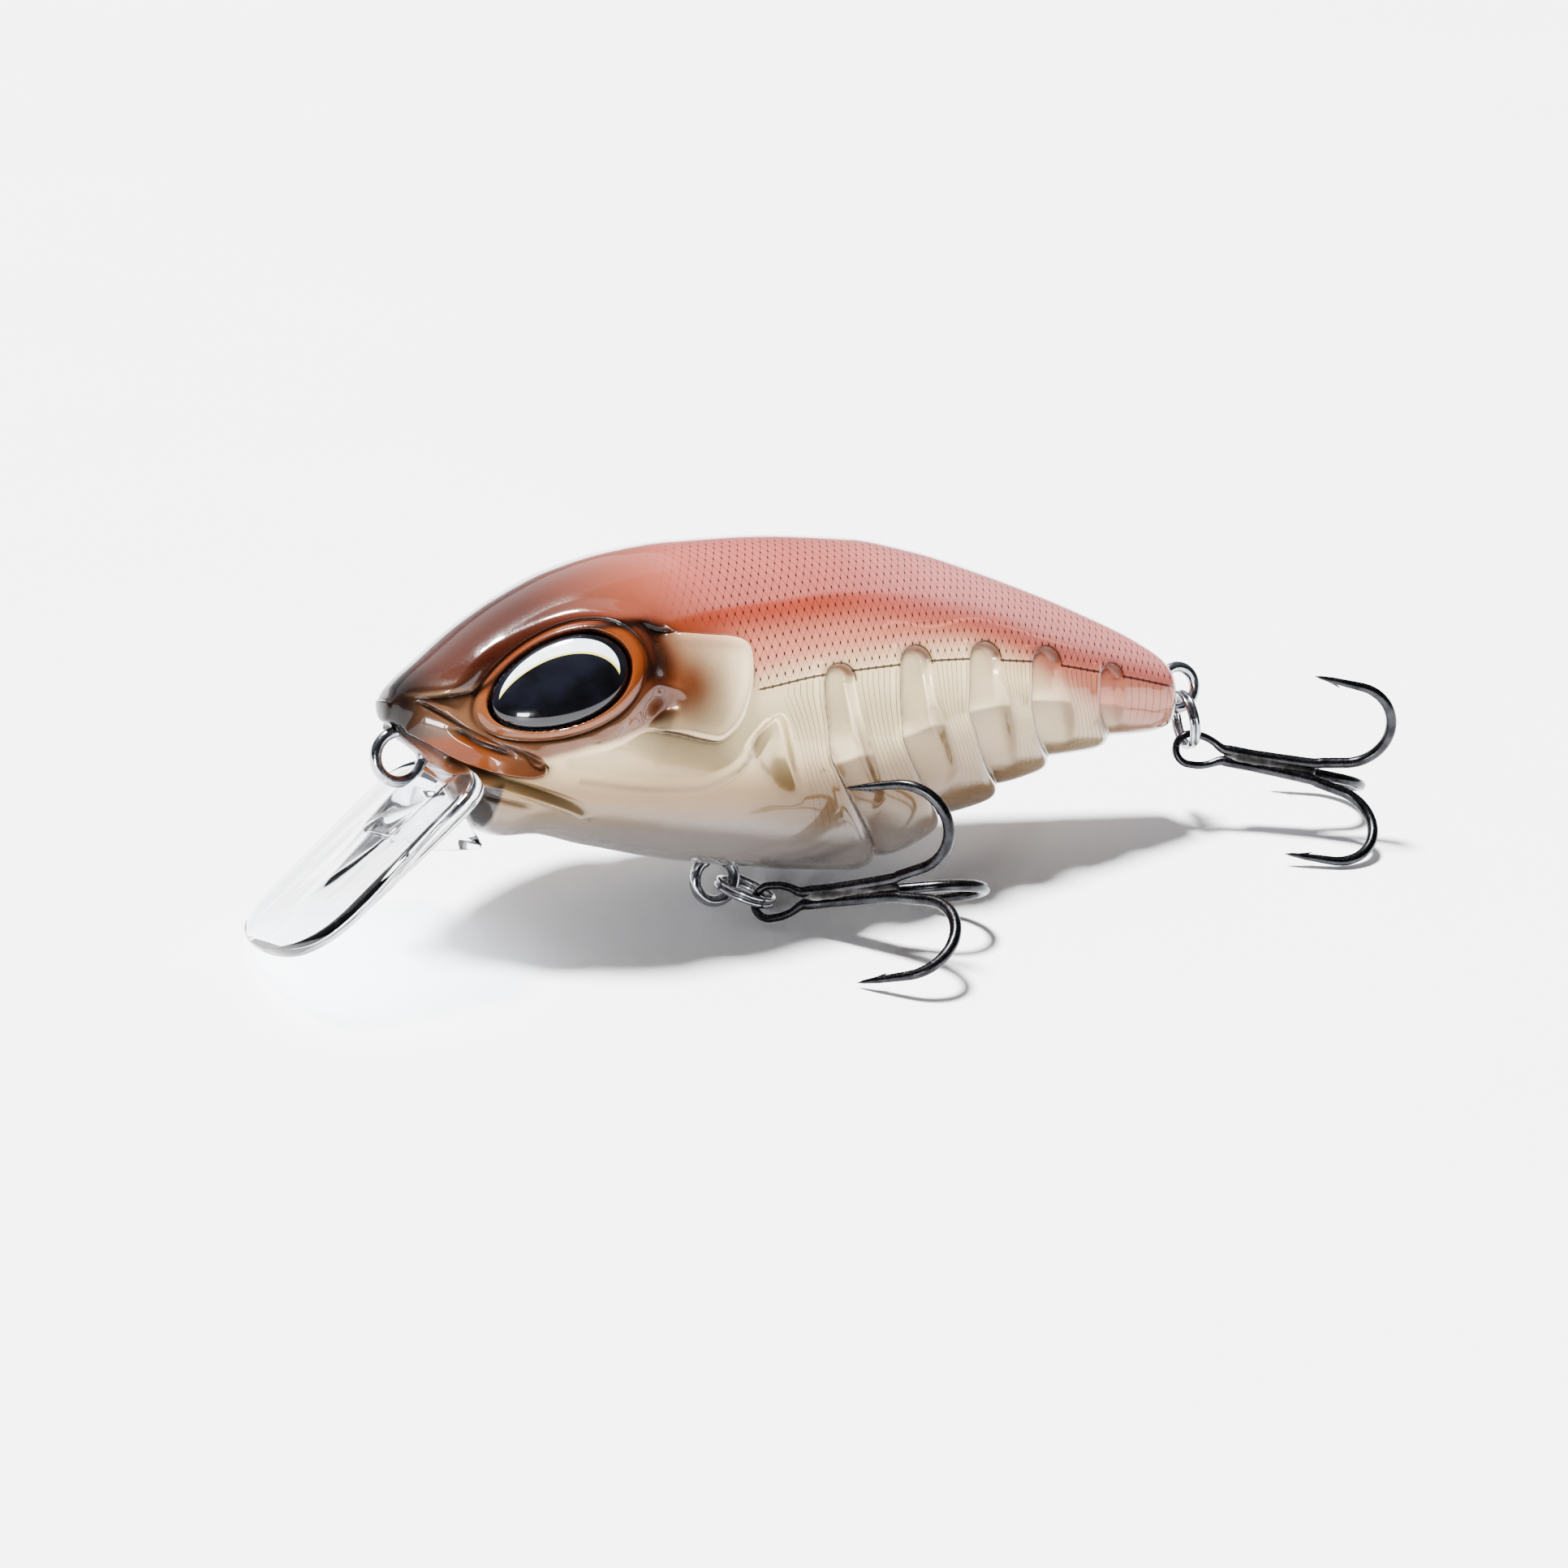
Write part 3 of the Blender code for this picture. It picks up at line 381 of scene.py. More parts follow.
# ---- material tools
class Look:
    """A material, or the surroundings, whose nodes are added with short calls."""

    def __init__(self, name, store=bpy.data.materials, shader="Principled BSDF"):
        self.owner = store.new(name)
        self.owner.use_nodes = True
        self.tree = self.owner.node_tree
        self.shader = self.tree.nodes[shader]

    def set(self, **values):
        """Set the shader's own sockets; underscores stand for spaces."""
        for name, value in values.items():
            self.shader.inputs[name.replace("_", " ")].default_value = value

    def drive(self, name, socket):
        """Feed one of the shader's sockets."""
        self.tree.links.new(socket, self.shader.inputs[name])

    def node(self, kind, feeds=(), **settings):
        """Add a node, set its properties, and feed its sockets by number or name."""
        node = self.tree.nodes.new(kind)
        for name, value in settings.items():
            setattr(node, name, value)
        for key, value in dict(feeds).items():
            if isinstance(value, bpy.types.NodeSocket):
                self.tree.links.new(value, node.inputs[key])
            else:
                node.inputs[key].default_value = value
        return node

    def math(self, operation, *values):
        """Socket of a Math node."""
        return self.node("ShaderNodeMath", enumerate(values), operation=operation).outputs[0]

    def mix(self, share, under, over):
        """Socket of a colour mix; colours are tuples of three or sockets."""
        feeds = {"Factor": share}
        for key, value in ((6, under), (7, over)):
            feeds[key] = value if isinstance(value, bpy.types.NodeSocket) else (*value, 1)
        return self.node("ShaderNodeMix", feeds, data_type="RGBA").outputs[2]

    def field(self, name, output="Fac"):
        """Socket of a value stored on the vertices."""
        return self.node("ShaderNodeAttribute", attribute_name=name).outputs[output]

    def place(self):
        """Object coordinates in mm."""
        source = self.node("ShaderNodeTexCoord").outputs["Object"]
        return self.scale(source, 1 / MM)

    def scale(self, vector, factor):
        """Socket of a vector times one number."""
        feeds = {0: vector, "Scale": factor}
        return self.node("ShaderNodeVectorMath", feeds, operation="SCALE").outputs[0]

    def ink(self, under, mark, strength, colour):
        """Lay a mark over a colour, as strongly as a field of the mesh says."""
        return self.mix(self.math("MULTIPLY", mark, self.field(strength)), under, colour)

    def noise(self, vector, scale, detail=2.0, roughness=0.5):
        """Socket of a noise texture in cycles per mm."""
        feeds = {"Vector": vector, "Scale": scale, "Detail": detail, "Roughness": roughness}
        return self.node("ShaderNodeTexNoise", feeds).outputs["Fac"]

    def remap(self, value, low, high, to_low=0.0, to_high=1.0):
        """Smooth remap of a value from one range to another."""
        feeds = {"Value": value, "From Min": low, "From Max": high, "To Min": to_low, "To Max": to_high}
        return self.node("ShaderNodeMapRange", feeds, interpolation_type="SMOOTHSTEP").outputs[0]

    def stroke(self, distance, half_width, soft):
        """1 on a line where a signed distance is near zero."""
        return self.remap(self.math("ABSOLUTE", distance), half_width - soft, half_width + soft, 1.0, 0.0)

    def bump(self, height, distance, strength=1.0):
        """Feed the shader's normal from a height in mm."""
        feeds = {"Height": height, "Distance": distance * MM, "Strength": strength}
        self.drive("Normal", self.node("ShaderNodeBump", feeds).outputs[0])


# ---- body shape
def section(x, angle):
    """Left half of the body's section, in mm: angle 0 is the back, pi the belly."""
    top, bottom, width = smooth(TOP, x), smooth(BOTTOM, x), smooth(HALF_WIDTH, x)
    waist = (top + bottom) / 2 + WAIST_RISE
    across = np.abs(np.sin(angle)) ** (2 / SECTION_POWER)
    along = np.abs(np.cos(angle)) ** (2 / SECTION_POWER)
    z = np.where(np.cos(angle) >= 0, waist + (top - waist) * along, waist - (waist - bottom) * along)
    return -width * across, z, waist


def base_grid(head_pitch, tail_pitch, steps):
    """Smooth left half of the body before it is sculpted, with rounded nose and tail ends."""
    caps = np.linspace(0, np.pi / 2, 7)[1:]
    body = np.concatenate([np.arange(NOSE, -7, head_pitch), np.arange(-7, TAIL, tail_pitch), [TAIL]])
    x = np.concatenate([np.full(6, NOSE), body, np.full(6, TAIL)])
    push = np.concatenate([-NOSE_CAP * np.sin(caps[::-1]), 0 * body, TAIL_CAP * np.sin(caps)])
    shrink = np.concatenate([np.cos(caps[::-1]), 0 * body + 1, np.cos(caps)]).clip(0.002, 1)
    angle = np.linspace(0, np.pi, steps)
    stations, angles = np.meshgrid(x, angle, indexing="ij")
    y, z, waist = section(stations, angles)
    return np.stack([stations + push[:, None], y * shrink[:, None],
                     waist + (z - waist) * shrink[:, None]], axis=-1)


def normals_of(points):
    """Outward unit normals of the left half grid, mirrored across the middle plane at its edges."""
    flip = np.array([1, -1, 1])
    wide = np.concatenate([points[:, 1:2] * flip, points, points[:, -2:-1] * flip], axis=1)
    ahead = np.gradient(wide, axis=0)
    around = np.gradient(wide, axis=1)
    normal = np.cross(around, ahead)[:, 1:-1]
    return normal / np.maximum(np.linalg.norm(normal, axis=-1, keepdims=True), 1e-9)


def eye_frame(side):
    """Frame of an eye on the flank in the body's frame, mm: local +Z points out of the body."""
    x, z = EYE_CENTRE
    out = Vector((EYE_OUT[0], side * EYE_OUT[1], EYE_OUT[2])).normalized()
    forward = Vector((-1, 0, 0))
    long_axis = (forward - out * forward.dot(out)).normalized()
    short_axis = out.cross(long_axis)
    if short_axis.z < 0:
        short_axis = -short_axis
        long_axis = short_axis.cross(out)
    axes = Matrix((long_axis, short_axis, out)).transposed().to_4x4()
    return Matrix.Translation((x, side * EYE_SPREAD, z)) @ axes @ turn(-EYE_TILT * side, "Z")


def eye_radius(points, side):
    """Points in an eye's frame: share of its outline, height over it, outward axis, share ahead."""
    matrix = eye_frame(side)
    homogeneous = np.concatenate([points, np.ones(points.shape[:-1] + (1,))], axis=-1)
    local = homogeneous @ np.array(matrix.inverted()).T
    ahead = 1.0 if matrix.col[0].x < 0 else -1.0
    long_share = ahead * local[..., 0] / (EYE_LONG / 2)
    half_short = EYE_SHORT / 2 * (1 - EYE_EGG * long_share.clip(-1.5, 1.5))
    share = np.hypot(long_share, local[..., 1] / half_short)
    return share, local[..., 2], np.array(matrix.col[2][:3]), long_share


def head_relief(x, z):
    """Sculpting of the head: height in mm, painted shade in its creases and gaps and under its ledges, and
    the fields its paint needs.
    """
    height, dark = np.zeros((2,) + x.shape)
    for curve, fades, raised, shaded in CREASES:
        distance, along = trace(x, z, curve)
        fade = window(along, *fades)
        height += bands(distance, raised) * fade
        dark += bands(distance, shaded) * fade

    brow, along = trace(x, z, BROW)
    fade = window(along, 0.12, 0.1)
    height += (0.16 * bell(brow - 0.3, 0.4) - 0.75 * ledge(-brow, 0, 0.22, 1.2)) * fade
    # painted shade under the overhang of the brow
    dark += 0.9 * bell(brow + 0.25, 0.32) * fade

    valley, _ = trace(x, z, VALLEY)
    height -= 0.95 * bell(valley, 0.85) + 0.6 * spot(x, z, (-15.9, 0.05), (1.25, 0.8))
    # painted shade in the valley behind the eye and in the pocket under the ridge
    dark += 0.85 * bell(valley + 0.1, 0.9) + 0.45 * spot(x, z, (-15.6, 0.35), (1.2, 0.7))

    gill, along = trace(x, z, GILL_PLATE)
    inside = ramp(gill, 0.05, -0.12) * ramp(x, -15.6, -13.4) * ramp(x, -7.5, -8.4) * (z < 6.5) * (z > -3.2)
    height += (0.32 + 0.12 * bell(gill + 0.45, 0.4)) * inside
    underside = window(along, 0.01, 0.18) * ramp(along, 0.5, 0.66)
    height -= 0.5 * ledge(gill, 0, 0.16, 1.0) * underside
    # painted shade under the lower step of the gill plate
    dark += bell(gill - 0.1, 0.2) * underside

    cheek, along = trace(x, z, CHEEK)
    height += 0.45 * ledge(cheek, -0.9, 0.8, 3.0) * window(along, 0.1, 0.16)

    maxilla, along = trace(x, z, MAXILLA)
    fade = window(along, 0.06, 0.04)
    height += 0.5 * ledge(maxilla, -0.06, 0.2, 1.1) * fade
    # painted shade in the crease round the maxilla
    dark += 0.45 * bell(maxilla + 0.1, 0.16) * fade

    fold, along = trace(x, z, FOLD)
    shoulder, _ = trace(x, z, FOLD_SHOULDER)
    into = np.maximum(-fold, 0)
    sunk = ramp(into, 0, 0.45) * ramp(into, 3.4, 0.8) * ramp(z, -7.0, -3.2) * ramp(shoulder, -0.1, 0.7)
    height -= 0.75 * sunk * (fold < 0) * (x > -13)
    fold_shade = 0.7 * bell(into - 0.1, 0.3) * (fold < 0) * window(along, 0.02, 0.4)
    outlines = np.where(np.abs(gill) < np.abs(maxilla), gill, maxilla)
    return height, dark, dict(inside=inside, maxilla=maxilla, cheek=cheek, outlines=outlines, brow=brow,
                              fold_shade=fold_shade)


def plate_relief(x, z):
    """Pockets and overlapping plates of the rear body: height, and the fields their paint needs."""
    height, pocket, arch_shade, shadow, fine, fine_ink = np.zeros((6,) + x.shape)
    edge_line = np.full(x.shape, 9.0)
    lefts = [smooth(left, z) for _, left, _ in POCKETS] + [np.full(x.shape, TAIL)]
    rights = [smooth(FRONT_PLATE, z)] + [smooth(right, z) for _, _, right in POCKETS]
    for index, (top, left, right) in enumerate(POCKETS):
        edge, wall, following = lefts[index], rights[index + 1], lefts[index + 1]
        # a round end of this half width closes the pocket at its top
        half = (smooth(right, top - 1.3) - smooth(left, top - 1.3)) / 2
        centre_z = top - half
        centre_x = smooth(left, centre_z) + half
        cap = half - np.hypot(x - centre_x, z - centre_z)
        in_cap = z > centre_z
        behind = np.where(in_cap, cap, x - edge)
        soft = 0.3 + 0.45 * ramp(x, centre_x - 0.2, centre_x + 1.0)
        slot = np.where(in_cap, ramp(cap, 0, soft), ramp(behind, 0, 0.3) * ramp(wall - x, 0, 0.75))
        low, kink = left[0][0], left[len(left) // 2][0]
        belly = ramp(z, kink + 1.0, low * 0.72)
        share = np.clip((x - edge) / np.maximum(following - edge, 0.5), 0, 1)
        saw = (0.7 + 0.3 * ramp(x - edge, 0, 0.35)) * (1 - share) ** 1.25 * (x > edge) * (x < following)
        size = 1.0 - 0.08 * index
        height -= size * (POCKET_DEPTH * slot * (1 - belly) + BELLY_STEP * saw * belly)
        curl = 1 - np.clip((edge - x) / 1.6, 0, 1)
        height -= 0.98 * size * (1 - np.sqrt(1 - 0.98 * curl ** 2)) * belly * (x <= edge)
        height += 0.12 * bell(edge - x - 0.35, 0.35) * (1 - belly) * (z < top)
        edge_line = np.where(np.abs(behind) < np.abs(edge_line), behind, edge_line)
        pocket = np.maximum(pocket, np.where(in_cap, ramp(cap, 0, 0.2), (x > edge) * (x < wall)))
        # painted shade under the round top of each pocket and along its left edge, then the shadow beside
        # its right wall and behind each belly plate's edge
        arch_shade = np.maximum(arch_shade, bell(cap - 0.24, 0.36) * ramp(z, centre_z - 0.3, centre_z + 0.6))
        arch_shade = np.maximum(arch_shade, 0.8 * bell(x - edge - 0.1, 0.24) * ~in_cap * (1 - belly))
        low_wall = 0.3 + 0.7 * ramp(z, centre_z - 1.5, centre_z - 4.0)
        shadow = np.maximum(shadow, bell(wall - x - 0.25, 0.5) * ~in_cap * low_wall * ramp(z, low, kink))
        shadow = np.maximum(shadow, 0.5 * bell(x - edge - 0.1, 0.8) * (x > edge) * belly)
    for index, (start, end) in enumerate(zip(rights, lefts)):
        share = (x - start) / np.maximum(end - start, 0.3)
        inside = (share > 0.02) & (share < 0.98)
        fine = np.where(inside, share * FINE_LINES, fine)
        fine_ink = np.where(inside, ramp(z, -9.2 + index * 1.35, -7.0 + index * 1.35), fine_ink)
    scallop, along = trace(x, z, SCALLOPS)
    height += 0.14 * ledge(-scallop, -0.12, 0.12, 1.4) * window(along, 0.1, 0.2)
    return height, dict(edge_line=edge_line, pocket=pocket, arch_shade=arch_shade, shadow=shadow, fine=fine,
                        fine_ink=fine_ink)


def eye_rim(points, side):
    """Shape the socket and raised rim round the eye. Returns the moved points and the outline share."""
    share, lift, out, long_share = eye_radius(points, side)
    rim = 0.42 - 0.1 * long_share
    profile = SOCKET_FLOOR + (rim - SOCKET_FLOOR) * ramp(share, 1.03, 1.075)
    profile -= 0.42 * ramp(share, 1.1, 1.27) + 0.18 * bell(share - 1.27, 0.035)
    weight = ramp(share, 1.75, 1.3)
    return points + (weight * (profile - lift))[..., None] * out, share


# ---- body paint
def body_paint(x, z, dark, head, plates, share):
    """Colour of the body at each vertex, airbrushed colours with painted shade and light among them: coats
    of paint, each over a share of the last.
    """
    over_line = z - smooth(LATERAL, x)
    tail = ramp(x, 9, 30)
    pink_edge = -0.2 - 5.5 * tail
    band, _ = trace(x, z, RED_BAND)
    shade_edge = z - smooth(SHADE_EDGE, x)
    in_pocket = plates["pocket"] * ramp(x, -3.5, -2.5)
    # share of the flank in shade below that edge: soft on the plates, sharp in the pockets
    below = (1 - in_pocket) * ramp(shade_edge, 2.0, -2.0) * ramp(x, -9, -3)
    below += in_pocket * ramp(shade_edge, 0.15, -0.15)
    above_brow = ramp(head["brow"], -0.2, 0.3)
    lower_face = np.where(x < -23.4, ramp(head["maxilla"], -0.25, 0.05) * (z > -5.2), 0)
    cheek_line = np.interp(x, [-23.4, -20.5, -18.5, -16.5, -14.0], [-3.6, -2.7, -2.2, -1.2, -0.2])
    upper_face = ramp(z, cheek_line - 0.25, cheek_line + 0.45) * ramp(x, -12.6, -15.8)
    inside = head["inside"]
    coats = [
        # darker towards the belly: painted shade of the underside
        ("sand", ramp(z, -0.5, -6.0)),
        ("belly", ramp(z, -5.0, -9.5) * ramp(x, 32, 12)),
        ("pink", ramp(over_line, pink_edge - 0.8, pink_edge + 2.6)),
        ("red", 0.95 * ramp(band, -3.6 + tail, -0.4)),
        # salmon above the red band's edge: partly the back's own pink, partly a painted reflection
        ("salmon", ramp(band, -0.15, 0.35)),
        ("rose", 0.75 * ramp(x, -4, 12) * ramp(band, -2.0, 0.8)),
        # painted shade on the flank below the shade edge
        ("umber", 0.7 * below * ramp(z, -11.5, -6.0)),
        ("umber", 0.35 * ramp(x, 13, 27) * ramp(over_line, 0.5, -1.5)),
        # painted light: the pocket floors lighter above the shade edge
        ("gill", 0.7 * in_pocket * ramp(shade_edge, 0, 0.3) * ramp(x, 20, 8)),
        ("orange", 0.6 * ramp(x, -10, -18) * above_brow),
        ("forehead", 0.95 * ramp(x, -12, -25) * above_brow),
        ("brown", 0.95 * np.maximum(upper_face, lower_face) * (1 - above_brow)),
        ("brown", 0.8 * ramp(z, 3.6, 5.6) * ramp(x, -12.5, -17) * (1 - above_brow)),
        ("orange", 0.9 * ramp(x, -25.2, -28.2) * (z < -2.0) * ramp(z, -7.0, -5.0)),
        ("dark", 0.97 * ramp(x, -29.4, -32.2)),
        # painted dark reflection: the skin behind the clear block is darkened so that the block shows dark
        # through it
        ("dark", 0.95 * ramp(x, -25.75, -26.0) * ramp(z, -5.0, -5.3)),
        ("gill", 0.95 * inside),
        ("pink", 0.45 * inside * ramp(z, 3.2, 5.4)),
        ("rust", 0.97 * spot(x, z, (-13.6, 1.7), (4.0, 4.4)) * ramp(x, -8.9, -11.4)),
        ("brown", 0.85 * spot(x, z, (-15.2, 2.4), (1.9, 3.2))),
        ("orange", 0.55 * bell(share - 1.14, 0.1)),
        ("dark", 0.85 * ramp(share, 1.06, 1.0)),
        # painted shade in the head's creases and gaps, under its ledges, and in the groove at the foot of
        # the eye rim
        ("dark", np.clip(dark + 0.6 * bell(share - 1.3, 0.05), 0, 0.95)),
        # painted shade in the pockets, in the fold and under the cheek's lower edge
        ("brown", 0.95 * plates["arch_shade"]),
        ("umber", 0.7 * plates["shadow"]),
        ("umber", 0.75 * head["fold_shade"]),
        ("umber", 0.5 * bell(head["cheek"] + 0.15, 0.3) * (x > -21) * (z > -5.8)),
    ]
    for curve, offset, width, fades, strength in KEEL_STREAKS:
        streak, along = trace(x, z, curve)
        coats.append(("smoke", strength * bell(streak + offset, width) * window(along, *fades)))
    colour = np.broadcast_to(PAINT["champagne"], x.shape + (3,))
    for paint, amount in coats:
        colour = blend(colour, PAINT[paint], amount)
    return colour


def skin_look():
    """Pearl paint under a thick clear coat, with printed scales, lateral line and fine plate lines, and
    painted shade lines along the steps of the relief.
    """
    look = Look("airbrushed_shell")
    where = look.place()
    flake = look.noise(where, 9.0, 3.0, 0.7)
    dusting = look.remap(flake, 0.25, 0.75, -0.05, 0.05)
    cloud = look.remap(look.noise(where, 0.35, 2.0), 0.3, 0.7, -0.03, 0.03)
    value = look.math("ADD", look.math("ADD", 1.0, dusting), cloud)
    printed = look.scale(look.field("paint", "Color"), value)

    # scales: two sets of slanting lines, with a dot where they cross
    split = look.node("ShaderNodeSeparateXYZ", {0: look.field("scales", "Vector")}).outputs
    half_row = look.math("MULTIPLY", split[1], 0.5)
    rising = look.math("PINGPONG", look.math("SUBTRACT", split[0], half_row), 0.5)
    falling = look.math("PINGPONG", look.math("ADD", split[0], half_row), 0.5)
    net = look.remap(look.math("MINIMUM", rising, falling), 0.02, 0.07, 0.55, 0.0)
    reach = look.math("SQRT", look.math("ADD", look.math("MULTIPLY", rising, rising),
                                        look.math("MULTIPLY", falling, falling)))
    dots = look.remap(reach, 0.10, 0.18, 1.0, 0.0)
    printed = look.ink(printed, look.math("MAXIMUM", net, dots), "scale_ink", srgb(34, 16, 12))

    hair = look.remap(look.math("PINGPONG", look.field("fine"), 0.5), 0.03, 0.09, 0.85, 0.0)
    printed = look.ink(printed, hair, "fine_ink", srgb(66, 48, 34))
    tick = look.remap(look.math("PINGPONG", split[0], 0.5), 0.08, 0.16, 0.05, 0.0)
    distance = look.math("ABSOLUTE", look.field("lateral"))
    stripe = look.math("LESS_THAN", distance, look.math("ADD", tick, 0.075))
    printed = look.ink(printed, stripe, "lateral_ink", srgb(22, 16, 15))
    # painted shade lines along the steps of the gill plate, the maxilla and the tail plates
    outline = look.stroke(look.field("outline"), 0.06, 0.03)
    look.drive("Base Color", look.ink(printed, outline, "edge_shade", srgb(40, 22, 14)))
    look.drive("Roughness", look.remap(flake, 0.2, 0.8, 0.18, 0.27))
    look.drive("Metallic", look.field("pearl"))
    look.drive("Coat Weight", look.field("gloss"))
    look.bump(look.noise(where, 2.6, 3.0, 0.6), 0.012)
    look.set(Coat_Roughness=0.02, Coat_IOR=1.34, Specular_IOR_Level=0.08)
    return look.owner


def skin_fields(base, dark, head, plates, share):
    """Values on the vertices of a skin that its material reads."""
    x, z = base[..., 0], base[..., 2]
    steps = np.linalg.norm(np.diff(base, axis=1), axis=-1)
    arc = np.concatenate([np.zeros((len(base), 1)), np.cumsum(steps, axis=1)], axis=1)
    lateral = z - smooth(LATERAL, x)
    level = np.array([np.interp(0, -row, run) for row, run in zip(lateral, arc)])
    rows = (level[:, None] - arc) / SCALE_ROW
    outside_pocket = 1 - ramp(plates["pocket"], 0.3, 0.8)
    scale_ink = ramp(rows, 0.15, 0.5) * ramp(x, -16.5, -9.5) * ramp(arc, 1.2, 3.0) * ramp(x, 31.2, 30.4)
    scale_ink *= (1 - ramp(head["inside"], 0, 0.2)) * outside_pocket
    scale_ink *= 1 - ramp(x, -9.5, -10.5) * ramp(z, 6.2, 5.6)
    fine_ink = plates["fine_ink"] * ramp(lateral, -0.1, -0.35) * outside_pocket * ramp(x, -7.0, -5.0)
    on_head = x < -7.4
    # painted shade lines along the step edges, on the head and on the tail plates
    head_edge_shade = 0.9 * ((z < 6.0) & (z > -5.6))
    edge_shade = np.where(on_head, head_edge_shade, 0.85 * (z < 5.2) * ramp(z, -11.0, -9.0))
    edge_shade *= (x <= -22.5) | (x >= -15.4)
    steps_near = np.maximum(bell(plates["edge_line"] - 0.1, 0.3) * (x > -7), np.clip(dark, 0, 1))
    gloss = (1 - 0.85 * steps_near) * (1 - 0.6 * ramp(x, -29.6, -32.4))
    gloss *= 1 - 0.55 * ramp(z, -0.5, -3.0) * ramp(x, -22.5, -24.5)
    colour = body_paint(x, z, dark, head, plates, share)
    return {
        "scales": np.stack([x / SCALE_PITCH, rows, 0 * x], axis=-1), "scale_ink": scale_ink,
        "lateral": lateral,
        "lateral_ink": 0.92 * ramp(x, -8.4, -8.1) * ramp(x, 30.9, 30.6) * (1 - plates["pocket"]),
        "fine": plates["fine"], "fine_ink": fine_ink,
        "outline": np.where(on_head, head["outlines"], plates["edge_line"]), "edge_shade": edge_shade,
        "pearl": 0.04 + 0.36 * ramp(z, 3.0, -1.0) * ramp(z, -11.0, -6.0) * ramp(x, -26.0, -22.0),
        "gloss": gloss, "paint": np.concatenate([colour, np.ones(x.shape + (1,))], axis=-1),
    }


def make_body():
    """Sculpted left and right skins of the body."""
    base = base_grid(*FINE_GRID)
    x, z = base[..., 0], base[..., 2]
    head_height, dark, head = head_relief(x, z)
    plate_height, plates = plate_relief(x, z)
    ends = ramp(x, NOSE - 0.2, NOSE + 0.9) * ramp(x, TAIL + 0.2, TAIL - 0.7)
    height = head_height * ramp(x, -3.5, -5.0) + plate_height * ramp(x, -6.5, -4.5)
    shaped = base + (height * ends)[..., None] * normals_of(base)
    shaped, share = eye_rim(shaped, -1)
    shaped[:, (0, -1), 1] = 0
    shaped[..., 1] = np.minimum(shaped[..., 1], 0)

    fields = skin_fields(base, dark, head, plates, share)
    look = skin_look()
    faces = grid_faces(*x.shape)
    for word, side in (("left", 1), ("right", -1)):
        shape = shaped * np.array([1, side, 1]), faces[:, ::side]
        skin = add_piece("skin_" + word, shape, look, STANCE, "lure_body", "shell", "body_half_" + word)
        for name, values in fields.items():
            add_field(skin, name, values)


# ---- eyes
def eye_look():
    """Printed eye under a clear dome: black pupil, white crescent with a thin yellow edge."""
    look = Look("printed_eye")
    where = look.place()
    pupil = look.field("pupil")
    rim = look.field("rim")
    depth = look.remap(look.noise(where, 0.45, 3.0), 0.35, 0.7)
    inner = look.mix(look.math("MULTIPLY", depth, 0.5), srgb(4, 4, 6), srgb(20, 22, 32))
    cloud = look.remap(look.noise(where, 1.2, 2.0), 0.3, 0.7)
    white = look.mix(cloud, srgb(238, 240, 244), srgb(214, 220, 230))
    in_white = look.math("MULTIPLY", look.remap(pupil, 0.0, 0.012), look.remap(rim, 0.115, 0.13))
    yellow = look.math("MULTIPLY", look.stroke(pupil, 0.022, 0.01), look.remap(rim, 0.11, 0.13))
    look.drive("Base Color", look.mix(yellow, look.mix(in_white, inner, white), srgb(214, 200, 96)))
    look.drive("Roughness", look.remap(look.noise(where, 3.0), 0.3, 0.7, 0.08, 0.14))
    look.set(Coat_Weight=1.0, Coat_Roughness=0.01, Coat_IOR=1.36, Specular_IOR_Level=0.15)
    return look.owner


def make_eyes():
    """Domed printed eyes in their sockets, over the foil discs."""
    look = eye_look()
    rings, steps = 28, 112
    slope = np.linspace(0, np.pi / 2, rings)
    share = np.concatenate([[0.003], np.sin(slope[1:]), [0.999, 0.995]])
    lift = np.concatenate([0.1 + np.cos(slope), [-0.25, -0.5]])
    radius, angle = np.meshgrid(share, 2 * np.pi * np.arange(steps) / steps, indexing="ij")
    long_share = radius * np.cos(angle)
    across = radius * np.sin(angle)
    y = EYE_SHORT / 2 * across * (1 - EYE_EGG * long_share)
    z = np.broadcast_to(lift[:, None], y.shape)
    for word, side in (("left", -1), ("right", 1)):
        matrix = eye_frame(side)
        ahead = 1 if matrix.col[0].x < 0 else -1
        points = np.stack([ahead * EYE_LONG / 2 * long_share, y, z], axis=-1)
        faces = grid_faces(rings + 2, steps, closed=True)[:, ::-ahead].tolist()
        faces.append(list(range(steps))[::ahead])
        world = STANCE @ Matrix.Scale(MM, 4) @ matrix @ Matrix.Scale(1 / MM, 4)
        dome = add_piece("eye_dome_" + word, (points, faces), look, world, "lure_body", "eye_lens",
                         "eye_lens_" + word)
        add_field(dome, "pupil", np.hypot((long_share - 0.11) / 0.95, (across + 0.33) / 0.91) - 1)
        add_field(dome, "rim", 1 - np.hypot(long_share, across))


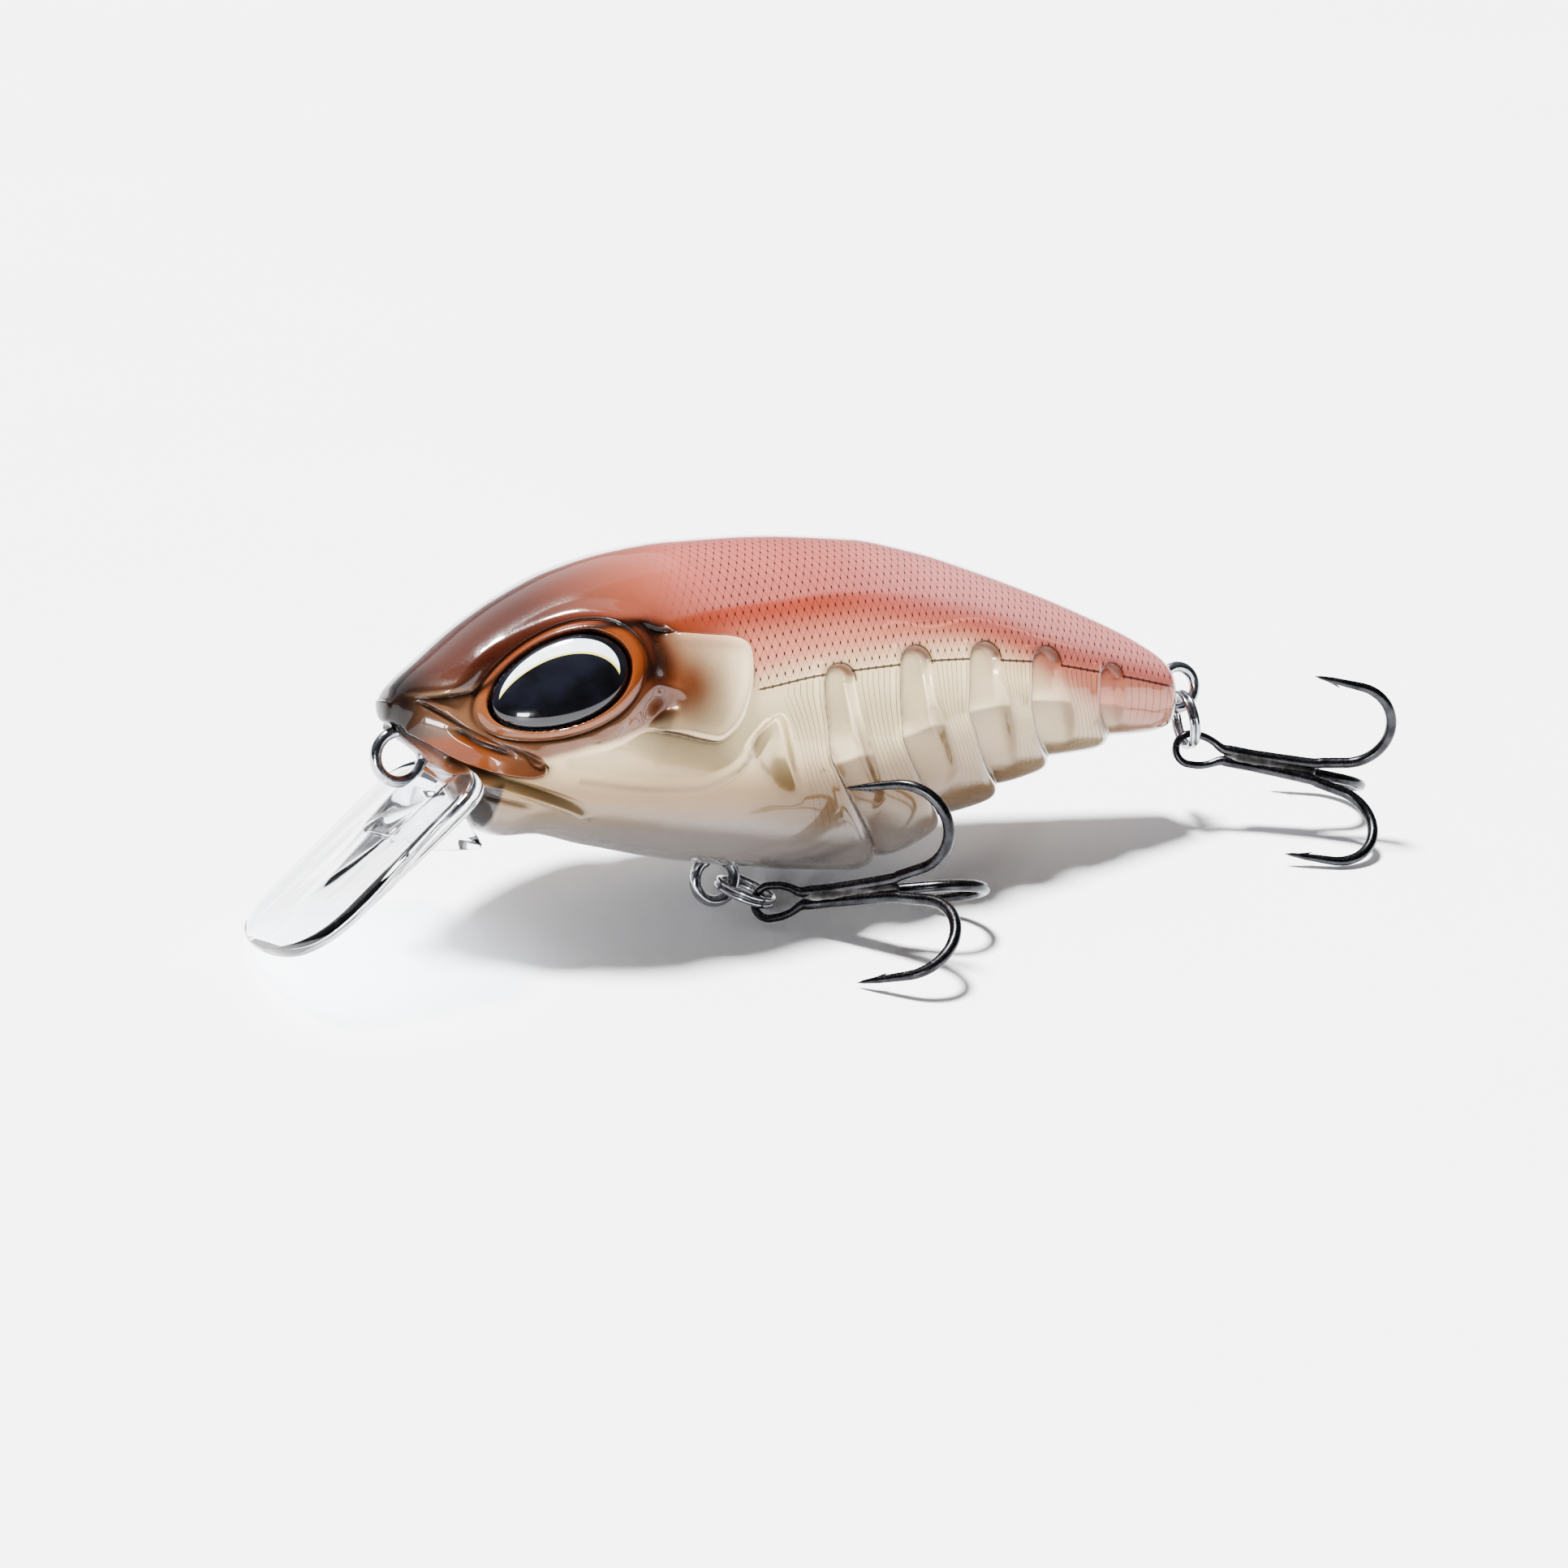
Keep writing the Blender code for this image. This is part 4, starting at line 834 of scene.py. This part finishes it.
# ---- clear lip
def clear_look():
    """Clear polycarbonate with faint flow lines, which lets light through to the surface below."""
    look = Look("clear_lip")
    where = look.place()
    drawn = look.node("ShaderNodeVectorMath", {0: where, 1: (0.12, 1.0, 0.6)}, operation="MULTIPLY")
    look.bump(look.noise(drawn.outputs[0], 0.35, 1.0, 0.4), 0.05, 0.4)
    look.drive("Roughness", look.remap(look.noise(where, 1.5), 0.3, 0.7, 0.0, 0.03))
    look.set(Base_Color=(*srgb(250, 252, 255), 1), Transmission_Weight=1.0, IOR=1.45)
    shadow = look.node("ShaderNodeLightPath").outputs["Is Shadow Ray"]
    through = look.node("ShaderNodeBsdfTransparent", {"Color": (0.86, 0.88, 0.90, 1)}).outputs[0]
    mixed = look.node("ShaderNodeMixShader", {0: shadow, 1: look.shader.outputs[0], 2: through}).outputs[0]
    look.tree.links.new(mixed, look.tree.nodes["Material Output"].inputs["Surface"])
    return look.owner


def lip_matrix():
    """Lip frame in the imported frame: local +X runs forward and down the lip."""
    root = shift((LIP_ROOT[0], 0, LIP_ROOT[1]))
    return STANCE @ root @ turn(180, "Z") @ turn(LIP_PITCH, "Y")


def lip_plate():
    """Rounded plate with a raised, rippled bar at its root, thinner towards the front."""
    u = np.concatenate([np.linspace(-6.6, -1.5, 12)[:-1], np.linspace(-1.5, 3, 30)[:-1],
                        np.linspace(3, 12, 44)[:-1], 12 + 4.9 * np.sin(np.linspace(0, np.pi / 2, 44))])
    steps = 180
    along, angle = np.meshgrid(u, 2 * np.pi * np.arange(steps) / steps, indexing="ij")
    half = smooth(LIP_PLAN, along)
    y = half * np.cos(angle)
    side_edge = half - np.abs(y)
    front_edge = LIP_LENGTH - along
    thick = LIP_THICKNESS / 2 * np.sqrt(1 - (1 - np.clip(side_edge / 0.75, 0, 1)) ** 2)
    thick *= 0.3 + 0.7 * np.sqrt(1 - (1 - np.clip(front_edge / 0.8, 0, 1)) ** 2)
    thick *= 1 - 0.22 * ramp(along, 2, 15)
    bar = np.exp(-(np.abs(y) / (2.5 - 0.06 * along)) ** 3) * ramp(along, 12.5, 0.5)
    ripple = 0.05 * np.cos(y * 2.3 + 0.5 * along) * ramp(along, 14, 5) * bell(y, 4.0)
    inner = ramp(side_edge, 0.2, 1.2)
    z = np.where(np.sin(angle) >= 0, thick + (0.85 * bar + ripple) * inner, -thick - 0.1 * bar * inner)
    z = np.where(along < -1.6, z.clip(-0.7, 0.7), z)
    return np.stack([along, y, z], axis=-1), closed_faces(len(u), steps)


def lip_block():
    """Block between the lip and the throat, with softened flanks."""
    outline = spline(WEDGE_PROFILE + WEDGE_PROFILE[:1], 6)[:-1]
    across = np.linspace(-1, 1, 25)
    shrink = (1 - 0.14 * np.abs(across) ** 10)[:, None, None]
    centre = outline.mean(0)
    rings = centre + (outline - centre) * shrink
    sides = np.broadcast_to((WEDGE_HALF_WIDTH * across)[:, None], rings.shape[:2])
    return np.stack([rings[..., 0], sides, rings[..., 1]], axis=-1), closed_faces(len(across), len(outline))


def make_lip():
    """The clear plate and the clear block under it."""
    look = clear_look()
    for name, shape in (("lip_plate", lip_plate()), ("lip_block", lip_block())):
        add_piece(name, shape, look, lip_matrix(), "lure_body", "lip", "diving_lip")


# ---- wire hardware
def tube(points, radius, sides=20):
    """Round wire with eased ends along a smooth path in mm; radius is one number or one for each point."""
    p = np.asarray(points, float)
    radius = np.broadcast_to(radius, (len(p),)).astype(float)
    tangent = np.gradient(p, axis=0)
    tangent /= np.linalg.norm(tangent, axis=1, keepdims=True)
    side = np.cross(tangent[0], [0.3, 0.5, 0.8])
    angle = 2 * np.pi * np.arange(sides)[:, None] / sides
    rings = []
    for centre, along, r in zip(p, tangent, radius):
        side = side - along * np.dot(side, along)
        side /= np.linalg.norm(side)
        rings.append(centre + r * (np.cos(angle) * side + np.sin(angle) * np.cross(along, side)))
    rings = np.array(rings)
    first, last = (ring.mean(0) + (ring - ring.mean(0)) * 0.8 for ring in (rings[0], rings[-1]))
    cut = 0.12 * radius[0]
    rings = np.concatenate([[first - tangent[0] * cut], rings, [last + tangent[-1] * cut]])
    return rings.reshape(-1, 3), closed_faces(len(rings), sides)


def join_tubes(parts):
    """Points and faces of several tubes as one shape."""
    faces, count = [], 0
    for points, part_faces in parts:
        faces += [[index + count for index in face] for face in part_faces]
        count += len(points)
    return np.vstack([points for points, _ in parts]), faces


def metal_look(name, light, dull, low, high):
    """Plated or cast metal: its tone and roughness drift between two values, with fine marks."""
    look = Look(name)
    where = look.place()
    look.drive("Base Color", look.mix(look.remap(look.noise(where, 0.8, 3.0), 0.3, 0.7), light, dull))
    look.drive("Roughness", look.remap(look.noise(where, 5.0, 3.0, 0.7), 0.3, 0.7, low, high))
    look.bump(look.noise(where, 7.0, 2.0, 0.6), 0.006, 0.6)
    look.set(Metallic=1.0)
    return look.owner


def hanger_points(radius, depth):
    """Bent wire hanger in the XZ plane: round eye at the origin and two legs up into the body."""
    opening = math.radians(HANGER_OPENING)
    angle = math.radians(90) + opening + (2 * np.pi - 2 * opening) * np.linspace(0, 1, 23)
    eye = [(radius * math.cos(a), 0, radius * math.sin(a)) for a in angle]
    neck = EYELET_WIRE / 2 + WIRE_GAP
    rise = [(neck, 0, radius + 1.2), (neck, 0, depth - 1.2)]
    fall = [(-neck, 0, depth - 1.2), (-neck, 0, radius + 1.2)]
    return spline(fall + eye + rise, 5)


def make_hangers(metals):
    """The line tie and the two hook eyelets."""
    for node, ((x, z), radius, depth, lean) in HANGERS.items():
        world = STANCE @ shift((x, 0, z)) @ turn(lean, "Y")
        wire = tube(hanger_points(radius, depth), EYELET_WIRE / 2, 28)
        add_piece(node + "_wire", wire, metals["nickel_wire"], world, "lure_body", "hardware", node)


def ring_points():
    """Two close turns of split-ring wire about the Z axis."""
    turns = np.linspace(0, RING_TURNS, 190)
    angle = 2 * np.pi * turns
    # the coils lie flat except for a short step where one passes to the other
    rise = (RING_WIRE + 0.01) * (turns + 0.12 * np.sin(angle) - RING_TURNS / 2)
    return np.stack([RING_RADIUS * np.cos(angle), RING_RADIUS * np.sin(angle), rise], axis=1)


def prong_points(around):
    """One prong: flare, round bend and straight point, at an angle round the shank's X axis."""
    flare = math.radians(HOOK_FLARE)
    start = np.array([HOOK_SHANK, PRONG_OFFSET])
    run = start + np.linspace(0, HOOK_RUN, 10)[:, None] * [math.cos(flare), math.sin(flare)]
    centre = run[-1] + HOOK_BEND * np.array([-math.sin(flare), math.cos(flare)])
    heading = flare + math.radians(HOOK_SWEEP) * np.linspace(0, 1, 40)[1:]
    bend = centre + HOOK_BEND * np.stack([np.sin(heading), -np.cos(heading)], axis=1)
    onward = [math.cos(heading[-1]), math.sin(heading[-1])]
    point = bend[-1] + np.linspace(0, HOOK_POINT, 26)[1:, None] * onward
    path = np.vstack([run, bend, point])
    return path[:, :1] * [1, 0, 0] + path[:, 1:] * [0, -math.cos(around), math.sin(around)]


def needle(points):
    """Wire radius along a prong: full, then narrowing over the last stretch to a sharp tip."""
    left = np.linalg.norm(np.diff(points, axis=0), axis=1)[::-1].cumsum()[::-1]
    share = np.interp(np.append(left, 0.0), [0, 0.5, 1.6, 3.0, 5.0, 8.0], [0.02, 0.32, 0.6, 0.75, 0.9, 1.0])
    return HOOK_WIRE / 2 * share


def barb(points, around):
    """Small barb lifted from the inner side of the point, facing away from the tip."""
    direction = np.array([0, -math.cos(around), math.sin(around)])
    tip = points[-1]
    back = points[-12] - tip
    back /= np.linalg.norm(back)
    inner = -(direction - back * np.dot(direction, back))
    inner /= np.linalg.norm(inner)
    reach = np.linspace(0.7, 2.15, 8)
    path = [tip + back * r + inner * (0.03 + 0.42 * ((r - 0.7) / 1.45) ** 1.3) for r in reach]
    return tube(path, np.linspace(0.13, 0.05, 8), 10)


def treble_eye_side(sign):
    """One side of the teardrop eye and its leg along the shank, from the eye's far end."""
    half_width = (HOOK_EYE_WIDTH - HOOK_EYE_WIRE) / 2
    leg = HOOK_WIRE / 2 + WIRE_GAP
    path = []
    for angle in math.pi - math.radians(90) * np.linspace(0, 1, 7):
        path.append((HOOK_EYE_WIRE / 2 + half_width * (1 + math.cos(angle)), half_width * math.sin(angle)))
    path += [(HOOK_EYE_LENGTH * 0.60, half_width * 0.95), (HOOK_EYE_LENGTH * 0.80, half_width * 0.74),
             (HOOK_EYE_LENGTH, leg * 1.10), (HOOK_EYE_LENGTH + 0.9, leg), (HOOK_SHANK - 1.6, leg)]
    return [(x, 0, sign * z) for x, z in path]


def make_treble(name, world, roll, grip, metals):
    """Double hook bent from one wire, brazed third hook, and the braze between them."""
    world = world @ shift(-Vector(grip)) @ turn(-roll, "X")
    black = metals["black_nickel"]
    double = []
    for sign in (1, -1):
        around = sign * math.radians(60)
        prong = prong_points(around)
        lead = spline(treble_eye_side(sign) + [prong[0], prong[2]], 7)[:-14]
        path = np.vstack([lead[:-4], spline([lead[-5], prong[1], prong[4]], 6)[1:-1], prong[4:]])
        radius = needle(path) * np.interp(path[:, 0], [3.2, 4.4], [HOOK_EYE_WIRE / HOOK_WIRE, 1.0])
        double += [tube(path, radius, 22), barb(path, around)]
    add_piece(name + "_double", join_tubes(double), black, world, name, "hook", name + "_double_hook")

    around = math.radians(180)
    prong = prong_points(around)
    groove = HOOK_WIRE * 0.86
    lead = spline([(HOOK_EYE_LENGTH + 1.0, groove * 0.92, 0), (HOOK_EYE_LENGTH + 2.2, groove, 0),
                   (HOOK_SHANK - 1.0, groove, 0), prong[1], prong[4]], 8)[:-8]
    path = np.vstack([lead[:-1], prong[4:]])
    radius = needle(path) * np.interp(path[:, 0], [4.9, 5.7], [0.45, 1.0])
    third = join_tubes([tube(path, radius, 22), barb(path, around)])
    add_piece(name + "_third", third, black, world, name, "hook", name + "_third_hook")

    start, end = HOOK_EYE_LENGTH + 0.2, HOOK_SHANK + 1.0
    reach = np.linspace(start, end, 40)
    swell = np.interp(reach, [start, start + 0.8, 9.0, end], [0.12, 0.44, 0.46, 0.20])
    path = np.stack([reach, 0 * reach, 0 * reach], axis=1)
    points, faces = tube(path, swell * (1 + 0.03 * np.sin(reach * 5.0)), 26)
    points[:, 2] *= 1.55
    add_piece(name + "_braze", (points, faces), metals["braze"], world, name, "hook")


def frame_of(origin, first, second):
    """World matrix in metres with local X along first and local Y near second."""
    along = Vector(first).normalized()
    normal = along.cross(Vector(second)).normalized()
    axes = Matrix((along, normal.cross(along), normal)).transposed().to_4x4()
    return Matrix.Translation(origin) @ axes


def make_tackle(metals):
    """Split rings and trebles, placed by the joints they turn on."""
    for name, spec in TACKLE.items():
        eyelet = Vector(JOINTS[name + "_ring_swing"]["pos_m"])
        pivot = Vector(JOINTS[name + "_treble_swing"]["pos_m"])
        centre = eyelet + Vector(spec["ring_offset"]) * MM
        ring = frame_of(centre, spec["ring_first"], spec["ring_second"])
        ring = ring @ turn(spec["ring_open"], ring.to_3x3().inverted() @ (pivot - eyelet))
        wire = tube(ring_points(), RING_WIRE / 2, 20)
        add_piece(name + "_ring_wire", wire, metals["nickel_wire"], ring, name + "_ring", "hardware",
                  name + "_split_ring")
        yaw, pitch = math.radians(spec["hook_yaw"]), math.radians(spec["hook_pitch"])
        shank = (math.cos(yaw) * math.cos(pitch), math.sin(yaw) * math.cos(pitch), math.sin(pitch))
        hook = frame_of(pivot, shank, (-math.sin(yaw), math.cos(yaw), 0))
        make_treble(name + "_treble", hook, spec["hook_roll"], spec["hook_grip"], metals)


# ---- inner pieces
def dress_cad_nodes(metals):
    """Materials for the CAD pieces that stay as they are: foils, ballast and rattle balls."""
    kinds = {"eye_foil": "eye_foil", "belly_ballast": "cast_lead", "rattle_ball": "steel_ball"}
    for node, piece in frame["nodes"].items():
        for start, metal in kinds.items():
            if node.startswith(start):
                piece.data.materials.clear()
                piece.data.materials.append(metals[metal])


# ---- surface, light and camera
def make_stage():
    """Plain white surface, daylight-white surroundings, a key from above and soft fills."""
    half = FLOOR_HALF
    corners = [(x, y, FLOOR_LEVEL) for x, y in ((-half, -half), (half, -half), (half, half), (-half, half))]
    floor = make_mesh("floor", corners, [(0, 1, 2, 3)])
    look = Look("white_sweep")
    grain = look.noise(look.place(), 0.02, 3.0)
    look.drive("Base Color", look.mix(look.remap(grain, 0.3, 0.7), (0.91, 0.91, 0.93), (0.93, 0.93, 0.95)))
    look.set(Roughness=0.55, Specular_IOR_Level=0.25)
    floor.data.materials.append(look.owner)
    make_world()
    for light in LIGHTS:
        add_light(*light)


def make_world():
    """Studio surroundings: bright above and behind the lure, dim on the near side."""
    look = Look("studio", bpy.data.worlds, "Background")
    feeds = {0: look.node("ShaderNodeTexCoord").outputs["Generated"], 1: WORLD_BRIGHT_SIDE}
    towards = look.node("ShaderNodeVectorMath", feeds, operation="DOT_PRODUCT").outputs["Value"]
    look.drive("Strength", look.remap(towards, *WORLD_RANGE))
    look.set(Color=WORLD_COLOUR)
    bpy.context.scene.world = look.owner


def add_light(name, kind, place, power, size):
    """Light aimed at the lure; size is the width of an area light or the angle of a sun."""
    data = bpy.data.lights.new(name, kind)
    data.energy = power
    if kind == "SUN":
        data.angle = size
    else:
        data.size = size
    light = bpy.data.objects.new(name, data)
    light.location = place
    light.rotation_euler = (-Vector(place)).to_track_quat("-Z", "Y").to_euler()
    bpy.context.scene.collection.objects.link(light)


def make_camera():
    """Camera to the front left and above, tilted down at the lure."""
    data = bpy.data.cameras.new("camera")
    data.lens = CAMERA_LENS
    data.sensor_width = 36.0
    data.clip_start = 0.01
    camera = bpy.data.objects.new("camera", data)
    aim = turn(-CAMERA_YAW, "Z") @ turn(90 - CAMERA_PITCH, "X") @ turn(CAMERA_ROLL, "Z")
    camera.matrix_world = Matrix.Translation(CAMERA_PLACE) @ aim
    bpy.context.scene.collection.objects.link(camera)
    bpy.context.scene.camera = camera


metal_looks = {name: metal_look(name, *spec) for name, spec in METALS.items()}
make_body()
make_eyes()
make_lip()
make_hangers(metal_looks)
make_tackle(metal_looks)
dress_cad_nodes(metal_looks)
make_stage()
make_camera()

bpy.context.view_layer.update()
